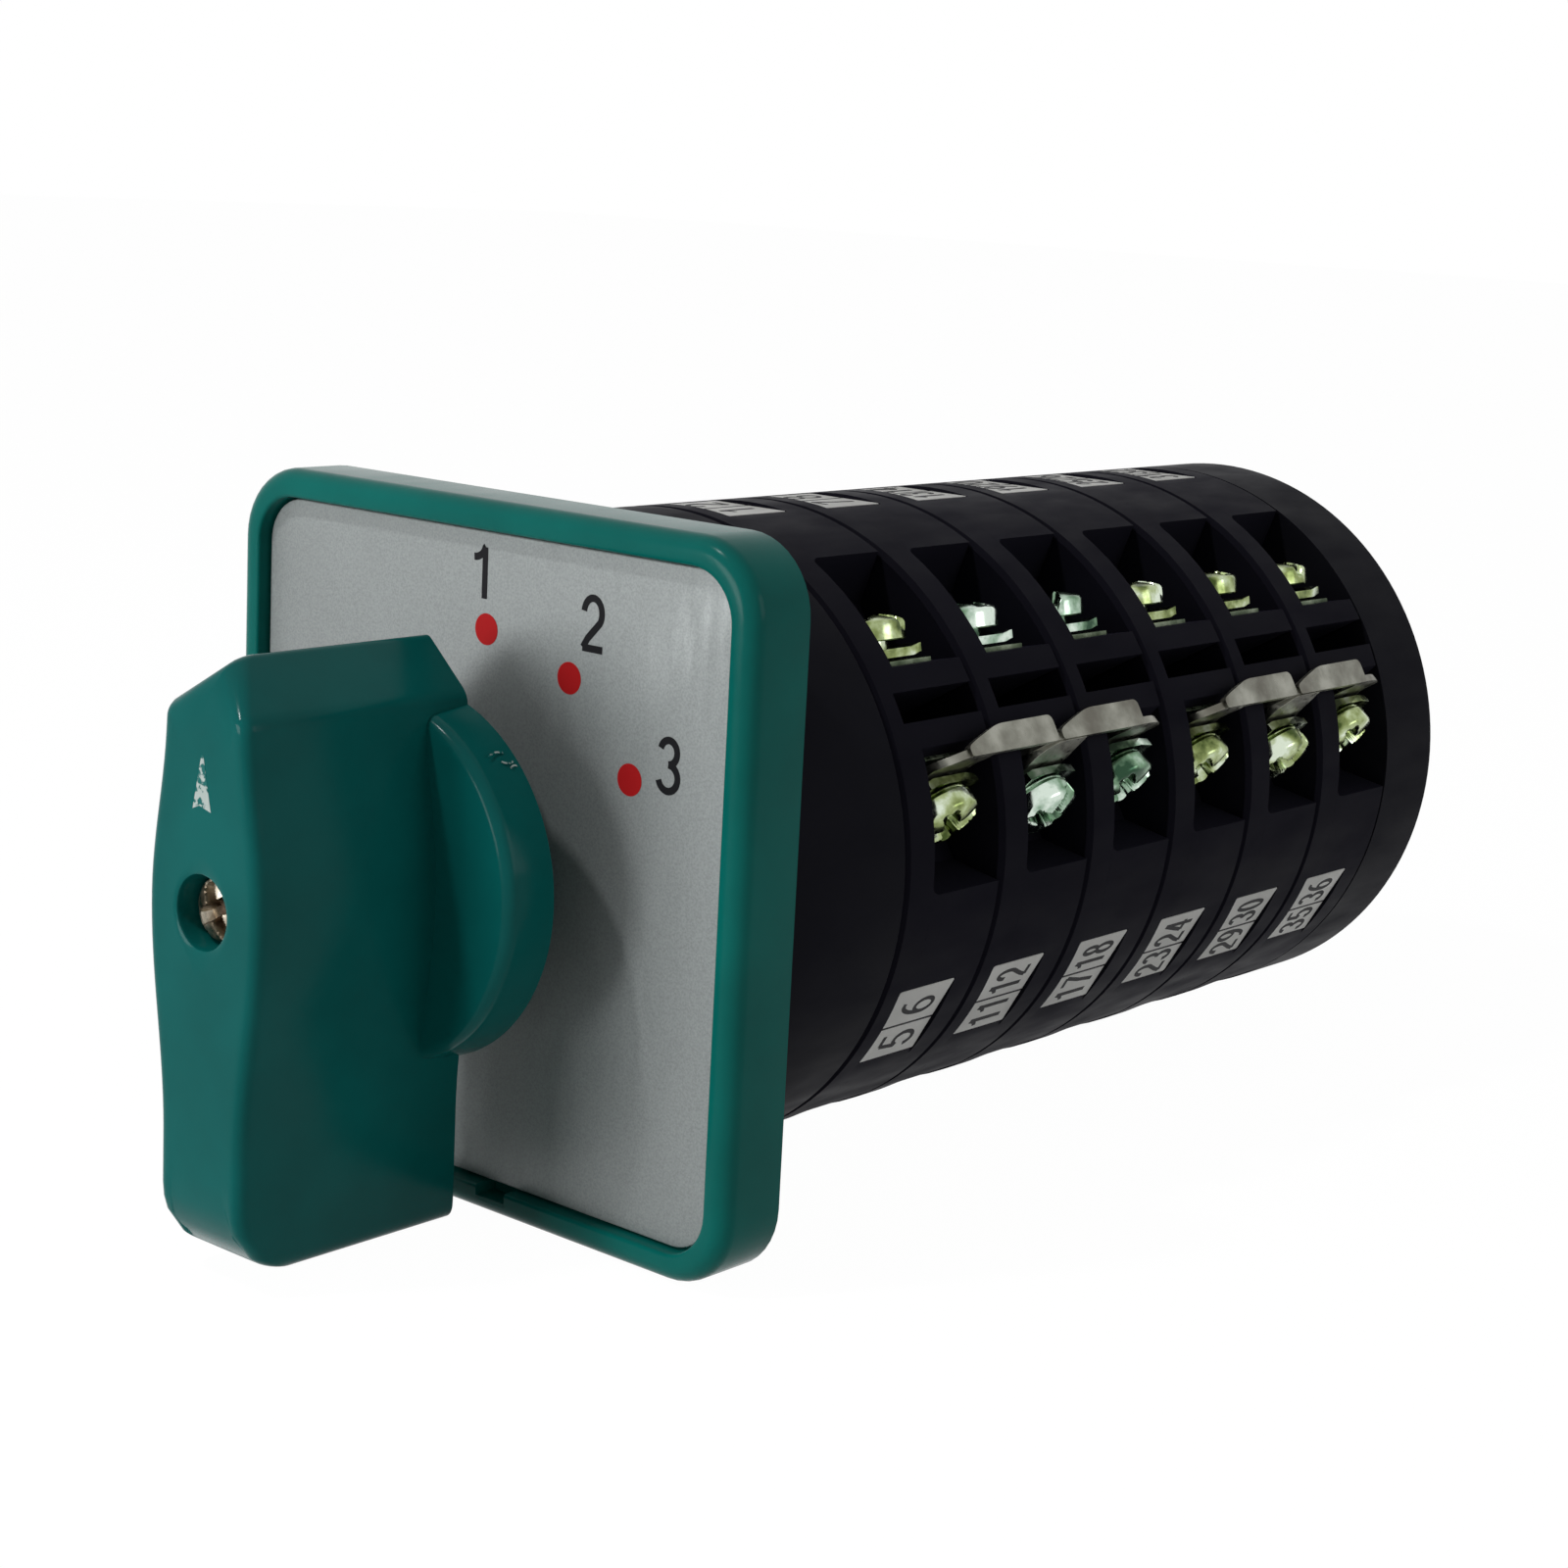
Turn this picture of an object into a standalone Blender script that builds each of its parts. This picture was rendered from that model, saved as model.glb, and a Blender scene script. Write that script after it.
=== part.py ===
"""Rotary changeover switch: a pointer knob on a square bezel, six contact stages behind it.

Metres, +Z up. The switch axis is +Y, which runs from the knob to the rear plate.
The origin is on that axis, in the plane of the bezel's rear face.
"""
import math

import bmesh
import bpy
from mathutils import Matrix

# Fits
GAP = 0.0003                # between pieces that seat on each other
RUNNING_GAP = 0.0003        # round a shaft, a cam or a follower
HUB_GAP = 0.0006            # round the hubs, which turn in flat-sided holes
CUT_MARGIN = 0.0002         # how far a cutter runs past the face that it opens
RIM_CUT_REACH = 0.0030      # how far a cutter runs out through the round body
WELD_DEPTH = 0.0001         # how far joined shapes run into each other

# Bezel and dial plate
BEZEL_SIDE = 0.0640
BEZEL_DEPTH = 0.0072
BEZEL_CORNER = 0.0068
BEZEL_EDGE = 0.0016         # round of the front outer edge
RIM_WIDTH = 0.0026
DIAL_SIDE_CORNER = 0.0045
DIAL_RECESS = 0.0013        # from the bezel's front rim down to the dial plate
DIAL_THICKNESS = 0.0008
BEZEL_FLOOR = 0.0018
BEZEL_REAR_WALL = 0.0016    # wall that seats on the panel, outside the round body
DIAL_HOLE_RADIUS = 0.0062
PRY_NOTCH_WIDTH = 0.0036
PRY_NOTCH_DEPTH = 0.0010
PRY_NOTCH_X = 0.0040
MOUNT_SCREW_SPACING = 0.0360
MOUNT_BOSS_RADIUS = 0.0048
MOUNT_HEAD_RADIUS = 0.0033
MOUNT_HEAD_HEIGHT = 0.0017
MOUNT_SHANK_RADIUS = 0.0020
MOUNT_SCREW_REACH = 0.0120  # into the front housing

# Knob
KNOB_FRONT = -0.0368
KNOB_REAR = -0.0126
SKIRT_FRONT = -0.01765
SKIRT_REAR_RADIUS = 0.0164
SKIRT_FRONT_RADIUS = 0.0160
GRIP_HALF_WIDTH = 0.0071    # at the switch axis
GRIP_END_HALF_WIDTH = 0.0053
GRIP_SHOULDER = 0.0163
GRIP_TIP = 0.0210
GRIP_TAIL = -0.0306
GRIP_SWELL_TAIL = -0.0200   # below this the grip's sides run straight
GRIP_TIP_ROUND = 0.0040
GRIP_TAIL_ROUND = 0.0065
GRIP_EDGE = 0.0011
KNOB_COLLAR_RADIUS = 0.0075
RECESS_RADIUS = 0.0033
RECESS_DEPTH = 0.0043
KNOB_SCREW_HEAD_RADIUS = 0.0026
KNOB_SCREW_HEAD_HEIGHT = 0.0020
KNOB_SCREW_CROWN = 0.0008
KNOB_SCREW_SHANK_RADIUS = 0.0017
KNOB_SCREW_LENGTH = 0.0160

# Shaft and housings
SHAFT_SIDE = 0.0080
SHAFT_FRONT = -0.0250
JOURNAL_RADIUS = 0.0035
JOURNAL_LENGTH = 0.0050
BODY_RADIUS = 0.0300
BODY_EDGE = 0.0005          # bevel at the front of every ring of the body
FRONT_HOUSING_LENGTH = 0.0170
STAGE_PITCH = 0.0140
STAGE_COUNT = 6
REAR_PLATE_LENGTH = 0.0099
REAR_PLATE_EDGE = 0.0010
TIE_ROD_RADIUS = 0.0017
TIE_ROD_CIRCLE = 0.0168
TIE_HEAD_RADIUS = 0.0031
TIE_HEAD_HEIGHT = 0.0022
TIE_HEAD_CROWN = 0.0006
TIE_ROD_REACH = 0.0090      # into the front housing

# Sides of the round shapes
SMALL_STEPS = 8             # screws, rods and the holes for them
HUB_STEPS = 12
BORE_STEPS = 16
HOLE_STEPS = 20
BODY_STEPS = 40

# Index mechanism in the front housing
STAR_RADIUS = 0.0086
STAR_NOTCH_DEPTH = 0.0011
STAR_LOBES = 12
STAR_FRONT = 0.0063
STAR_THICKNESS = 0.0062
INDEX_CAVITY_RADIUS = 0.0134
ROLLER_RADIUS = 0.0022
PLUNGER_HALF_WIDTH = 0.0031
PLUNGER_LENGTH = 0.0052
INDEX_SPRING_RADIUS = 0.0022
INDEX_CHANNEL_WALL = 0.0055 # left outside a plunger's channel
STOP_LUG_RADIUS = 0.0126
STOP_LUG_HALF_ANGLE = 10.0
STOP_LUG_DRAFT = 0.2        # degrees by which the lug is wider at its foot
STOP_PIN_CIRCLE = 0.0118
STOP_PIN_RADIUS = 0.0013
KNOB_TRAVEL = 60.0          # degrees from position 1 to position 3

# Contact stage: angles run from +X towards +Z, lengths along Y from the stage's front
TERMINAL_ANGLES = (30.0, 150.0, 270.0)
LABEL_OFFSET = 60.0         # from a terminal direction to the next label
FLANGE_LENGTH = 0.0050
SCREW_STATION = 0.0096      # terminal screws, contacts and cam share this station
SMALL_WINDOW_HALF = 0.00145 # the window between the two terminals of a direction
SMALL_WINDOW_DEPTH = 0.0090
CHAMBER_DEPTH = 0.0090
CHAMBER_HALF_ANGLE = 33.0   # where a terminal chamber meets the label block
CHAMBER_WALL_RISE = 0.0128
CHAMBER_ROUND = 0.0018
CAM_CAVITY_RADIUS = 0.0119
CAM_CAVITY_FRONT = 0.0046
BRIDGE_POCKET_FLOOR = 0.0136
LABEL_WALL = 0.0034         # between a bridge pocket and the rim
BRIDGE_POCKET_HALF_WIDTH = 0.0090
LABEL_RECESS = 0.00045      # depth of the flat seat that a number label is stuck on
LABEL_WIDTH = 0.0083
LABEL_LENGTH = 0.0081
LABEL_STATION = 0.0069      # middle of the label

# Cams and moving contacts
HUB_RADIUS = 0.0062
CAM_LOW = 0.0088
CAM_LIFT = 0.0020
CAM_THICKNESS = 0.0046
CAM_RISE = 45.0             # degrees over which the cam rises to the right follower
CAM_STEPS = 24
FOLLOWER_HALF_WIDTH = 0.0021
FOLLOWER_NOSE_HALF_WIDTH = 0.0008
FOLLOWER_DEPTH = 0.0036
BRIDGE_THICKNESS = 0.0012
BRIDGE_HALF_LENGTH = 0.0082
BRIDGE_WIDTH = 0.0040
BRIDGE_DROP = 0.0004        # chamfer of the bridge's two ends
CONTACT_SPRING_RADIUS = 0.0021
SPRING_WIRE_RADIUS = 0.00035
SPRING_TURNS = 2.2

# Fixed contacts and terminals, in the frame of a terminal direction
STRIP_THICKNESS = 0.0006
STRIP_WIDTH = 0.0062
STRIP_REACH = 0.0042        # outwards from the screw
STRIP_TIP_RADIAL = 0.0160   # middle of the contact tip, along the label direction
STRIP_TIP_END = 0.0042
SCREW_INSET = 0.0058        # from the rim in to the foot of the screw
SCREW_TILT = 18.0           # degrees by which the screws and their seats lean outwards
SEAT_LEVEL = 0.0055         # underside of the strip at the screw, over the pair's middle
TERMINAL_SHANK_RADIUS = 0.00175
TERMINAL_HEAD_RADIUS = 0.0035
TERMINAL_HEAD_HEIGHT = 0.0024
TERMINAL_HEAD_CROWN = 0.0009
TERMINAL_TAIL = 0.0045      # length of a link's screw below its seat
TERMINAL_TAIL_ROOM = 0.0011 # hollow past the end of that screw
CLAMP_THICKNESS = 0.0008
CLAMP_LENGTH = 0.0060
CLAMP_WIDTH = 0.0072
WASHER_RADIUS = 0.0033
WASHER_THICKNESS = 0.0004
WASHER_GAP = 0.0001         # between a captive washer and its neighbours
LINK_THICKNESS = 0.0008
LINK_LUG_WIDTH = 0.0060
LINK_LUG_BACK = 0.0021      # from the screw to the inner end
LINK_LUG_CORNER = 0.0012
LINK_EAR = 0.0016           # length of the bend that joins a lug to the upright
LINK_BRIDGE_CLEARANCE = 0.0010
LINK_BRIDGE_EDGE = 0.0029   # the bridge's edge nearer the small window
LINK_BRIDGE_ROUND = 0.0009
LINKED_STAGES = ((1, 2), (2, 3), (4, 5), (5, 6))
LINK_TERMINAL = (30.0, -1)  # direction and side of the terminals that the links join

# Derived places
BEYOND_RIM = BODY_RADIUS + RIM_CUT_REACH
DIAL_HALF = BEZEL_SIDE / 2 - RIM_WIDTH
DIAL_FRONT = -BEZEL_DEPTH + DIAL_RECESS
DIAL_REAR = DIAL_FRONT + DIAL_THICKNESS
FLOOR_FRONT = DIAL_REAR + GAP
FLOOR_REAR = FLOOR_FRONT + BEZEL_FLOOR
STAR_REAR = STAR_FRONT + STAR_THICKNESS
REAR_PLATE_FRONT = FRONT_HOUSING_LENGTH + STAGE_COUNT * STAGE_PITCH
REAR_PLATE_REAR = REAR_PLATE_FRONT + REAR_PLATE_LENGTH
INDEX_CHANNEL_END = BODY_RADIUS - INDEX_CHANNEL_WALL
SMALL_WINDOW_FLOOR = BODY_RADIUS - SMALL_WINDOW_DEPTH
CHAMBER_FLOOR = BODY_RADIUS - CHAMBER_DEPTH
BRIDGE_POCKET_ROOF = BODY_RADIUS - LABEL_WALL
SCREW_RADIAL = BODY_RADIUS - SCREW_INSET
LEAN_SINE = math.sin(math.radians(SCREW_TILT))
LEAN_COSINE = math.cos(math.radians(SCREW_TILT))
LEAN_SLOPE = LEAN_SINE / LEAN_COSINE
BRIDGE_CLOSED = STRIP_TIP_RADIAL + STRIP_THICKNESS / 2 + GAP
SHAFT_HOLE = SHAFT_SIDE + 2 * RUNNING_GAP
ON_SIDE = Matrix(((0, 0, 1, 0), (1, 0, 0, 0), (0, 1, 0, 0), (0, 0, 0, 1)))  # XYZ to YZX

PART_NAME = "rotary_changeover_switch"
part_collection = None
cutter_collection = None


# Scene and materials

def start_scene():
    """Empty the scene and make the collections for the parts and the cutters."""
    global part_collection, cutter_collection
    for old in list(bpy.data.objects):
        bpy.data.objects.remove(old, do_unlink=True)
    part_collection = bpy.data.collections.new(PART_NAME)
    cutter_collection = bpy.data.collections.new("cutters")
    bpy.context.scene.collection.children.link(part_collection)
    bpy.context.scene.collection.children.link(cutter_collection)


def finish(name, colour, roughness, metallic=0.0):
    """A Principled material for one sub-part."""
    material = bpy.data.materials.new(name)
    material.use_nodes = True
    shader = material.node_tree.nodes["Principled BSDF"]
    shader.inputs["Base Color"].default_value = (*colour, 1.0)
    shader.inputs["Roughness"].default_value = roughness
    shader.inputs["Metallic"].default_value = metallic
    return material


TEAL = (0.020, 0.215, 0.195)
BLACK = (0.012, 0.012, 0.016)
SILVER = (0.56, 0.57, 0.57)
YELLOW_ZINC = (0.50, 0.50, 0.30)
TIN = (0.66, 0.67, 0.65)
STEEL = (0.45, 0.45, 0.46)
COPPER = (0.72, 0.43, 0.26)
NYLON = (0.62, 0.60, 0.52)


# Frames and outlines

def turn(degrees):
    """Rotation about the switch axis that takes +X to this angle towards +Z."""
    return Matrix.Rotation(-math.radians(degrees), 4, "Y")


def turned_point(degrees, along, across):
    """Point (x, z) at a distance along a direction and across it, counter-clockwise."""
    cosine = math.cos(math.radians(degrees))
    sine = math.sin(math.radians(degrees))
    return (along * cosine - across * sine, along * sine + across * cosine)


def arc(radius, start, end, steps):
    """Points of an arc about the switch axis, both ends included."""
    angles = [start + (end - start) * i / steps for i in range(steps + 1)]
    return [turned_point(angle, radius, 0.0) for angle in angles]


def circle(radius, steps, centre=(0.0, 0.0)):
    """Closed circle as an outline, without a repeated end point."""
    points = arc(radius, 0.0, 360.0, steps)[:-1]
    return [(x + centre[0], z + centre[1]) for x, z in points]


def rectangle(x0, x1, z0, z1):
    """Outline of a rectangle, counter-clockwise."""
    return [(x0, z0), (x1, z0), (x1, z1), (x0, z1)]


def rounded_rectangle(half_x, half_z, radius, steps=4):
    """Outline of a rectangle about the origin with rounded corners."""
    points = []
    for corner, (sx, sz) in enumerate(((1, 1), (-1, 1), (-1, -1), (1, -1))):
        cx = sx * (half_x - radius)
        cz = sz * (half_z - radius)
        quarter = arc(radius, corner * 90.0, corner * 90.0 + 90.0, steps)
        points += [(cx + x, cz + z) for x, z in quarter]
    return points


def thick_line(path, half):
    """Outline of a strip with square ends whose middle follows the path."""
    left = []
    right = []
    for i, (x, z) in enumerate(path):
        before = path[max(i - 1, 0)]
        after = path[min(i + 1, len(path) - 1)]
        first = unit(x - before[0], z - before[1]) if i > 0 else unit(after[0] - x, after[1] - z)
        second = unit(after[0] - x, after[1] - z) if i < len(path) - 1 else first
        normal = unit(-(first[1] + second[1]), first[0] + second[0])
        reach = half / (normal[0] * -first[1] + normal[1] * first[0])
        left.append((x + normal[0] * reach, z + normal[1] * reach))
        right.append((x - normal[0] * reach, z - normal[1] * reach))
    return left + right[::-1]


def unit(x, z):
    """The vector scaled to length one."""
    length = math.hypot(x, z)
    return (x / length, z / length)


# Solids

def add_object(name, mesh, material=None, cutter=False):
    """Link a mesh as a part of the switch, or as a cutter that is not rendered."""
    thing = bpy.data.objects.new(name, mesh)
    if cutter:
        cutter_collection.objects.link(thing)
        thing.hide_render = True
        thing.display_type = "WIRE"
    else:
        part_collection.objects.link(thing)
        if not mesh.materials:
            mesh.materials.append(material)
    return thing


def baked(thing):
    """A new mesh of the object as its modifiers leave it, in its own space."""
    bpy.context.view_layer.update()
    graph = bpy.context.evaluated_depsgraph_get()
    return bpy.data.meshes.new_from_object(thing.evaluated_get(graph))


def tidied(mesh, matrix=None):
    """Place the mesh, weld its doubles and turn its faces outwards."""
    work = bmesh.new()
    work.from_mesh(mesh)
    if matrix is not None:
        bmesh.ops.transform(work, matrix=matrix, verts=work.verts)
    bmesh.ops.remove_doubles(work, verts=work.verts, dist=0.000002)
    bmesh.ops.recalc_face_normals(work, faces=work.faces)
    work.to_mesh(mesh)
    work.free()
    return mesh


def slab_mesh(name, loops, low, high, place=None):
    """Solid of a flat XY outline, with holes where loops nest, from Z low to Z high."""
    curve = bpy.data.curves.new(name, "CURVE")
    curve.dimensions = "2D"
    curve.fill_mode = "BOTH"
    curve.extrude = (high - low) / 2
    for points in loops:
        spline = curve.splines.new("POLY")
        spline.points.add(len(points) - 1)
        for point, (x, y) in zip(spline.points, points):
            point.co = (x, y, 0.0, 1.0)
        spline.use_cyclic_u = True
    rise = Matrix.Translation((0.0, 0.0, (low + high) / 2))
    return curve_mesh(curve, place @ rise if place else rise)


def outline_mesh(name, loops, front, rear):
    """Solid of a flat XZ outline, with holes where loops nest, from Y front to Y rear."""
    return slab_mesh(name, loops, -rear, -front, Matrix.Rotation(math.pi / 2, 4, "X"))


def curve_mesh(curve, matrix):
    """The closed mesh of a curve, welded and placed; the curve itself is removed."""
    holder = bpy.data.objects.new(curve.name, curve)
    cutter_collection.objects.link(holder)
    mesh = baked(holder)
    bpy.data.objects.remove(holder, do_unlink=True)
    return tidied(mesh, matrix)


def turned_mesh(name, profile, steps):
    """Solid of revolution about Z; the profile runs down its outer side, (radius, z)."""
    mesh = bpy.data.meshes.new(name)
    edges = [(i, i + 1) for i in range(len(profile) - 1)]
    if profile[0][0] > 0.0:
        edges.append((len(profile) - 1, 0))
    mesh.from_pydata([(radius, 0.0, z) for radius, z in profile], edges, [])
    holder = bpy.data.objects.new(name, mesh)
    cutter_collection.objects.link(holder)
    screw = holder.modifiers.new("Screw", "SCREW")
    screw.steps = steps
    screw.render_steps = steps
    screw.use_merge_vertices = True
    screw.merge_threshold = 0.00001
    mesh = baked(holder)
    bpy.data.objects.remove(holder, do_unlink=True)
    return tidied(mesh)


def along_axis(mesh):
    """Turn a solid of revolution so that its +Z runs along the switch axis."""
    return tidied(mesh, Matrix.Rotation(-math.pi / 2, 4, "X"))


def cylinder_mesh(name, radius, front, rear, steps, centre=(0.0, 0.0)):
    """Plain cylinder along the switch axis, from Y front to Y rear."""
    mesh = bpy.data.meshes.new(name)
    work = bmesh.new()
    place = (Matrix.Translation((centre[0], (front + rear) / 2, centre[1]))
             @ Matrix.Rotation(-math.pi / 2, 4, "X"))
    bmesh.ops.create_cone(work, cap_ends=True, segments=steps, radius1=radius,
                          radius2=radius, depth=rear - front, matrix=place)
    work.to_mesh(mesh)
    work.free()
    return mesh


def copies(name, source, matrices):
    """One mesh of separate solids: the source mesh under each of the matrices."""
    work = bmesh.new()
    for matrix in matrices:
        piece = source.copy()
        piece.transform(matrix)
        if matrix.determinant() < 0:
            piece.flip_normals()
        work.from_mesh(piece)
        bpy.data.meshes.remove(piece)
    mesh = bpy.data.meshes.new(name)
    work.to_mesh(mesh)
    work.free()
    return mesh


def combine(thing, operation, mesh):
    """Boolean modifier on the part: DIFFERENCE, UNION or INTERSECT with the mesh."""
    tool = add_object(thing.name + "_" + mesh.name, mesh, cutter=True)
    modifier = thing.modifiers.new(mesh.name, "BOOLEAN")
    modifier.operation = operation
    modifier.solver = "EXACT"
    modifier.object = tool
    return tool


def cut(thing, *meshes):
    """Take each mesh out of the part."""
    for mesh in meshes:
        combine(thing, "DIFFERENCE", mesh)


def join(thing, *meshes):
    """Make each mesh one solid with the part."""
    for mesh in meshes:
        combine(thing, "UNION", mesh)


def bevel_where(mesh, test, width, segments):
    """Round the edges whose two ends both pass the test."""
    work = bmesh.new()
    work.from_mesh(mesh)
    edges = [edge for edge in work.edges
             if all(test(vertex.co) for vertex in edge.verts) and len(edge.link_faces) == 2
             and edge.calc_face_angle() > math.radians(30.0)]
    bmesh.ops.bevel(work, geom=edges, offset=width, segments=segments, profile=0.5,
                    affect="EDGES", clamp_overlap=True)
    work.to_mesh(mesh)
    work.free()
    return mesh


def coil_mesh(name, radius, length):
    """Open coil spring about Z, from z = 0 to its length."""
    points_per_turn = 4
    count = int(round(SPRING_TURNS * points_per_turn)) + 1
    rise = length - 2 * SPRING_WIRE_RADIUS
    curve = bpy.data.curves.new(name, "CURVE")
    curve.dimensions = "3D"
    curve.bevel_depth = SPRING_WIRE_RADIUS
    curve.bevel_resolution = 0
    curve.use_fill_caps = True
    spline = curve.splines.new("POLY")
    spline.points.add(count - 1)
    for i, point in enumerate(spline.points):
        angle = 2 * math.pi * i / points_per_turn
        height = SPRING_WIRE_RADIUS + rise * i / (count - 1)
        point.co = (radius * math.cos(angle), radius * math.sin(angle), height, 1.0)
    return curve_mesh(curve, Matrix.Identity(4))


# Bezel and dial

def make_bezel():
    """Square moulded frame: a rim round the dial, a floor behind it, four screw bosses."""
    half = BEZEL_SIDE / 2
    block = outline_mesh("block", [rounded_rectangle(half, half, BEZEL_CORNER, 5)],
                         -BEZEL_DEPTH, 0.0)
    bevel_where(block, lambda co: co.y < -BEZEL_DEPTH + CUT_MARGIN, BEZEL_EDGE, 3)
    bezel = add_object("bezel_frame", block, finish("teal_bezel", TEAL, 0.22))
    seat = outline_mesh("dial_seat", [rounded_rectangle(DIAL_HALF, DIAL_HALF, DIAL_SIDE_CORNER)],
                        -BEZEL_DEPTH - CUT_MARGIN, FLOOR_FRONT)
    notch = outline_mesh("pry_notch", [rectangle(PRY_NOTCH_X - PRY_NOTCH_WIDTH / 2,
                                                 PRY_NOTCH_X + PRY_NOTCH_WIDTH / 2,
                                                 -DIAL_HALF - PRY_NOTCH_DEPTH,
                                                 -DIAL_HALF + PRY_NOTCH_DEPTH)],
                         -BEZEL_DEPTH - CUT_MARGIN, DIAL_REAR)
    inner = half - BEZEL_REAR_WALL
    corner = BEZEL_CORNER - BEZEL_REAR_WALL
    hollow = outline_mesh("rear_hollow", [rounded_rectangle(inner, inner, corner)],
                          FLOOR_REAR, CUT_MARGIN)
    shaft_hole = cylinder_mesh("shaft_hole", DIAL_HOLE_RADIUS, FLOOR_FRONT - CUT_MARGIN,
                               FLOOR_REAR + CUT_MARGIN, HOLE_STEPS)
    cut(bezel, seat, notch, hollow, shaft_hole)
    corners = mount_screw_places()
    for number, place in enumerate(corners, 1):
        join(bezel, cylinder_mesh("boss_%d" % number, MOUNT_BOSS_RADIUS,
                                  FLOOR_REAR - CUT_MARGIN, 0.0, HUB_STEPS, place))
    for number, place in enumerate(corners, 1):
        head = cylinder_mesh("head_seat_%d" % number, MOUNT_HEAD_RADIUS + GAP,
                             FLOOR_FRONT - CUT_MARGIN,
                             FLOOR_FRONT + 2 * GAP + MOUNT_HEAD_HEIGHT, SMALL_STEPS,
                             place)
        shank = cylinder_mesh("shank_hole_%d" % number, MOUNT_SHANK_RADIUS + GAP,
                              FLOOR_FRONT, CUT_MARGIN, SMALL_STEPS, place)
        cut(bezel, head, shank)


def mount_screw_places():
    """Centres (x, z) of the four screws that clamp the panel."""
    half = MOUNT_SCREW_SPACING / 2
    return [(half, half), (-half, half), (-half, -half), (half, -half)]


def make_dial():
    """Thin metal plate that clips into the bezel and hides its screws."""
    half = DIAL_HALF - GAP
    loops = [rounded_rectangle(half, half, DIAL_SIDE_CORNER - GAP),
             circle(DIAL_HOLE_RADIUS, HOLE_STEPS)]
    add_object("dial_plate", outline_mesh("dial_plate", loops, DIAL_FRONT, DIAL_REAR),
               finish("brushed_dial", SILVER, 0.38, 0.7))


def make_mounting_screws():
    """Four screws from the bezel floor through the panel into the front housing."""
    head_front = FLOOR_FRONT + GAP
    head_rear = head_front + MOUNT_HEAD_HEIGHT
    profile = [(0.0, -head_front), (MOUNT_HEAD_RADIUS, -head_front),
               (MOUNT_HEAD_RADIUS, -head_rear), (MOUNT_SHANK_RADIUS, -head_rear),
               (MOUNT_SHANK_RADIUS, -MOUNT_SCREW_REACH), (0.0, -MOUNT_SCREW_REACH)]
    screw = tidied(turned_mesh("screw", profile, SMALL_STEPS),
                   Matrix.Rotation(math.pi / 2, 4, "X"))
    screw.materials.append(finish("zinc_screw", STEEL, 0.35, 0.9))
    for number, (x, z) in enumerate(mount_screw_places(), 1):
        add_object("mounting_screw_%d" % number, screw).location = (x, 0.0, z)


# Knob

def grip_half_width(z):
    """Half width of the grip: a smooth swell about the axis, straight towards the tail."""
    end = GRIP_SHOULDER if z > 0 else GRIP_SWELL_TAIL
    if z < GRIP_SWELL_TAIL:
        return GRIP_END_HALF_WIDTH
    swell = math.cos(math.pi / 2 * z / end) ** 2
    return GRIP_END_HALF_WIDTH + (GRIP_HALF_WIDTH - GRIP_END_HALF_WIDTH) * swell


def grip_front_outline():
    """Front view of the grip: pointed at the top, flat at the tail."""
    steps = 8
    heights = [GRIP_SHOULDER + (GRIP_SWELL_TAIL - GRIP_SHOULDER) * i / steps
               for i in range(steps + 1)]
    heights.append(GRIP_TAIL)
    left = [(-grip_half_width(z), z) for z in heights]
    right = [(grip_half_width(z), z) for z in reversed(heights)]
    return [(0.0, GRIP_TIP)] + left + right


def grip_side_outline():
    """Side view of the grip, (distance towards the front, z), with both ends rounded."""
    front = -KNOB_FRONT
    rear = -KNOB_REAR
    steps = 5
    points = [(rear, GRIP_TAIL), (rear, GRIP_TIP)]
    for i in range(steps + 1):
        angle = math.radians(90.0 * i / steps)
        points.append((front - GRIP_TIP_ROUND * (1 - math.sin(angle)),
                       GRIP_TIP - GRIP_TIP_ROUND * (1 - math.cos(angle))))
    for i in range(steps + 1):
        angle = math.radians(90.0 * i / steps)
        points.append((front - GRIP_TAIL_ROUND * (1 - math.cos(angle)),
                       GRIP_TAIL + GRIP_TAIL_ROUND * (1 - math.sin(angle))))
    return points


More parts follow.
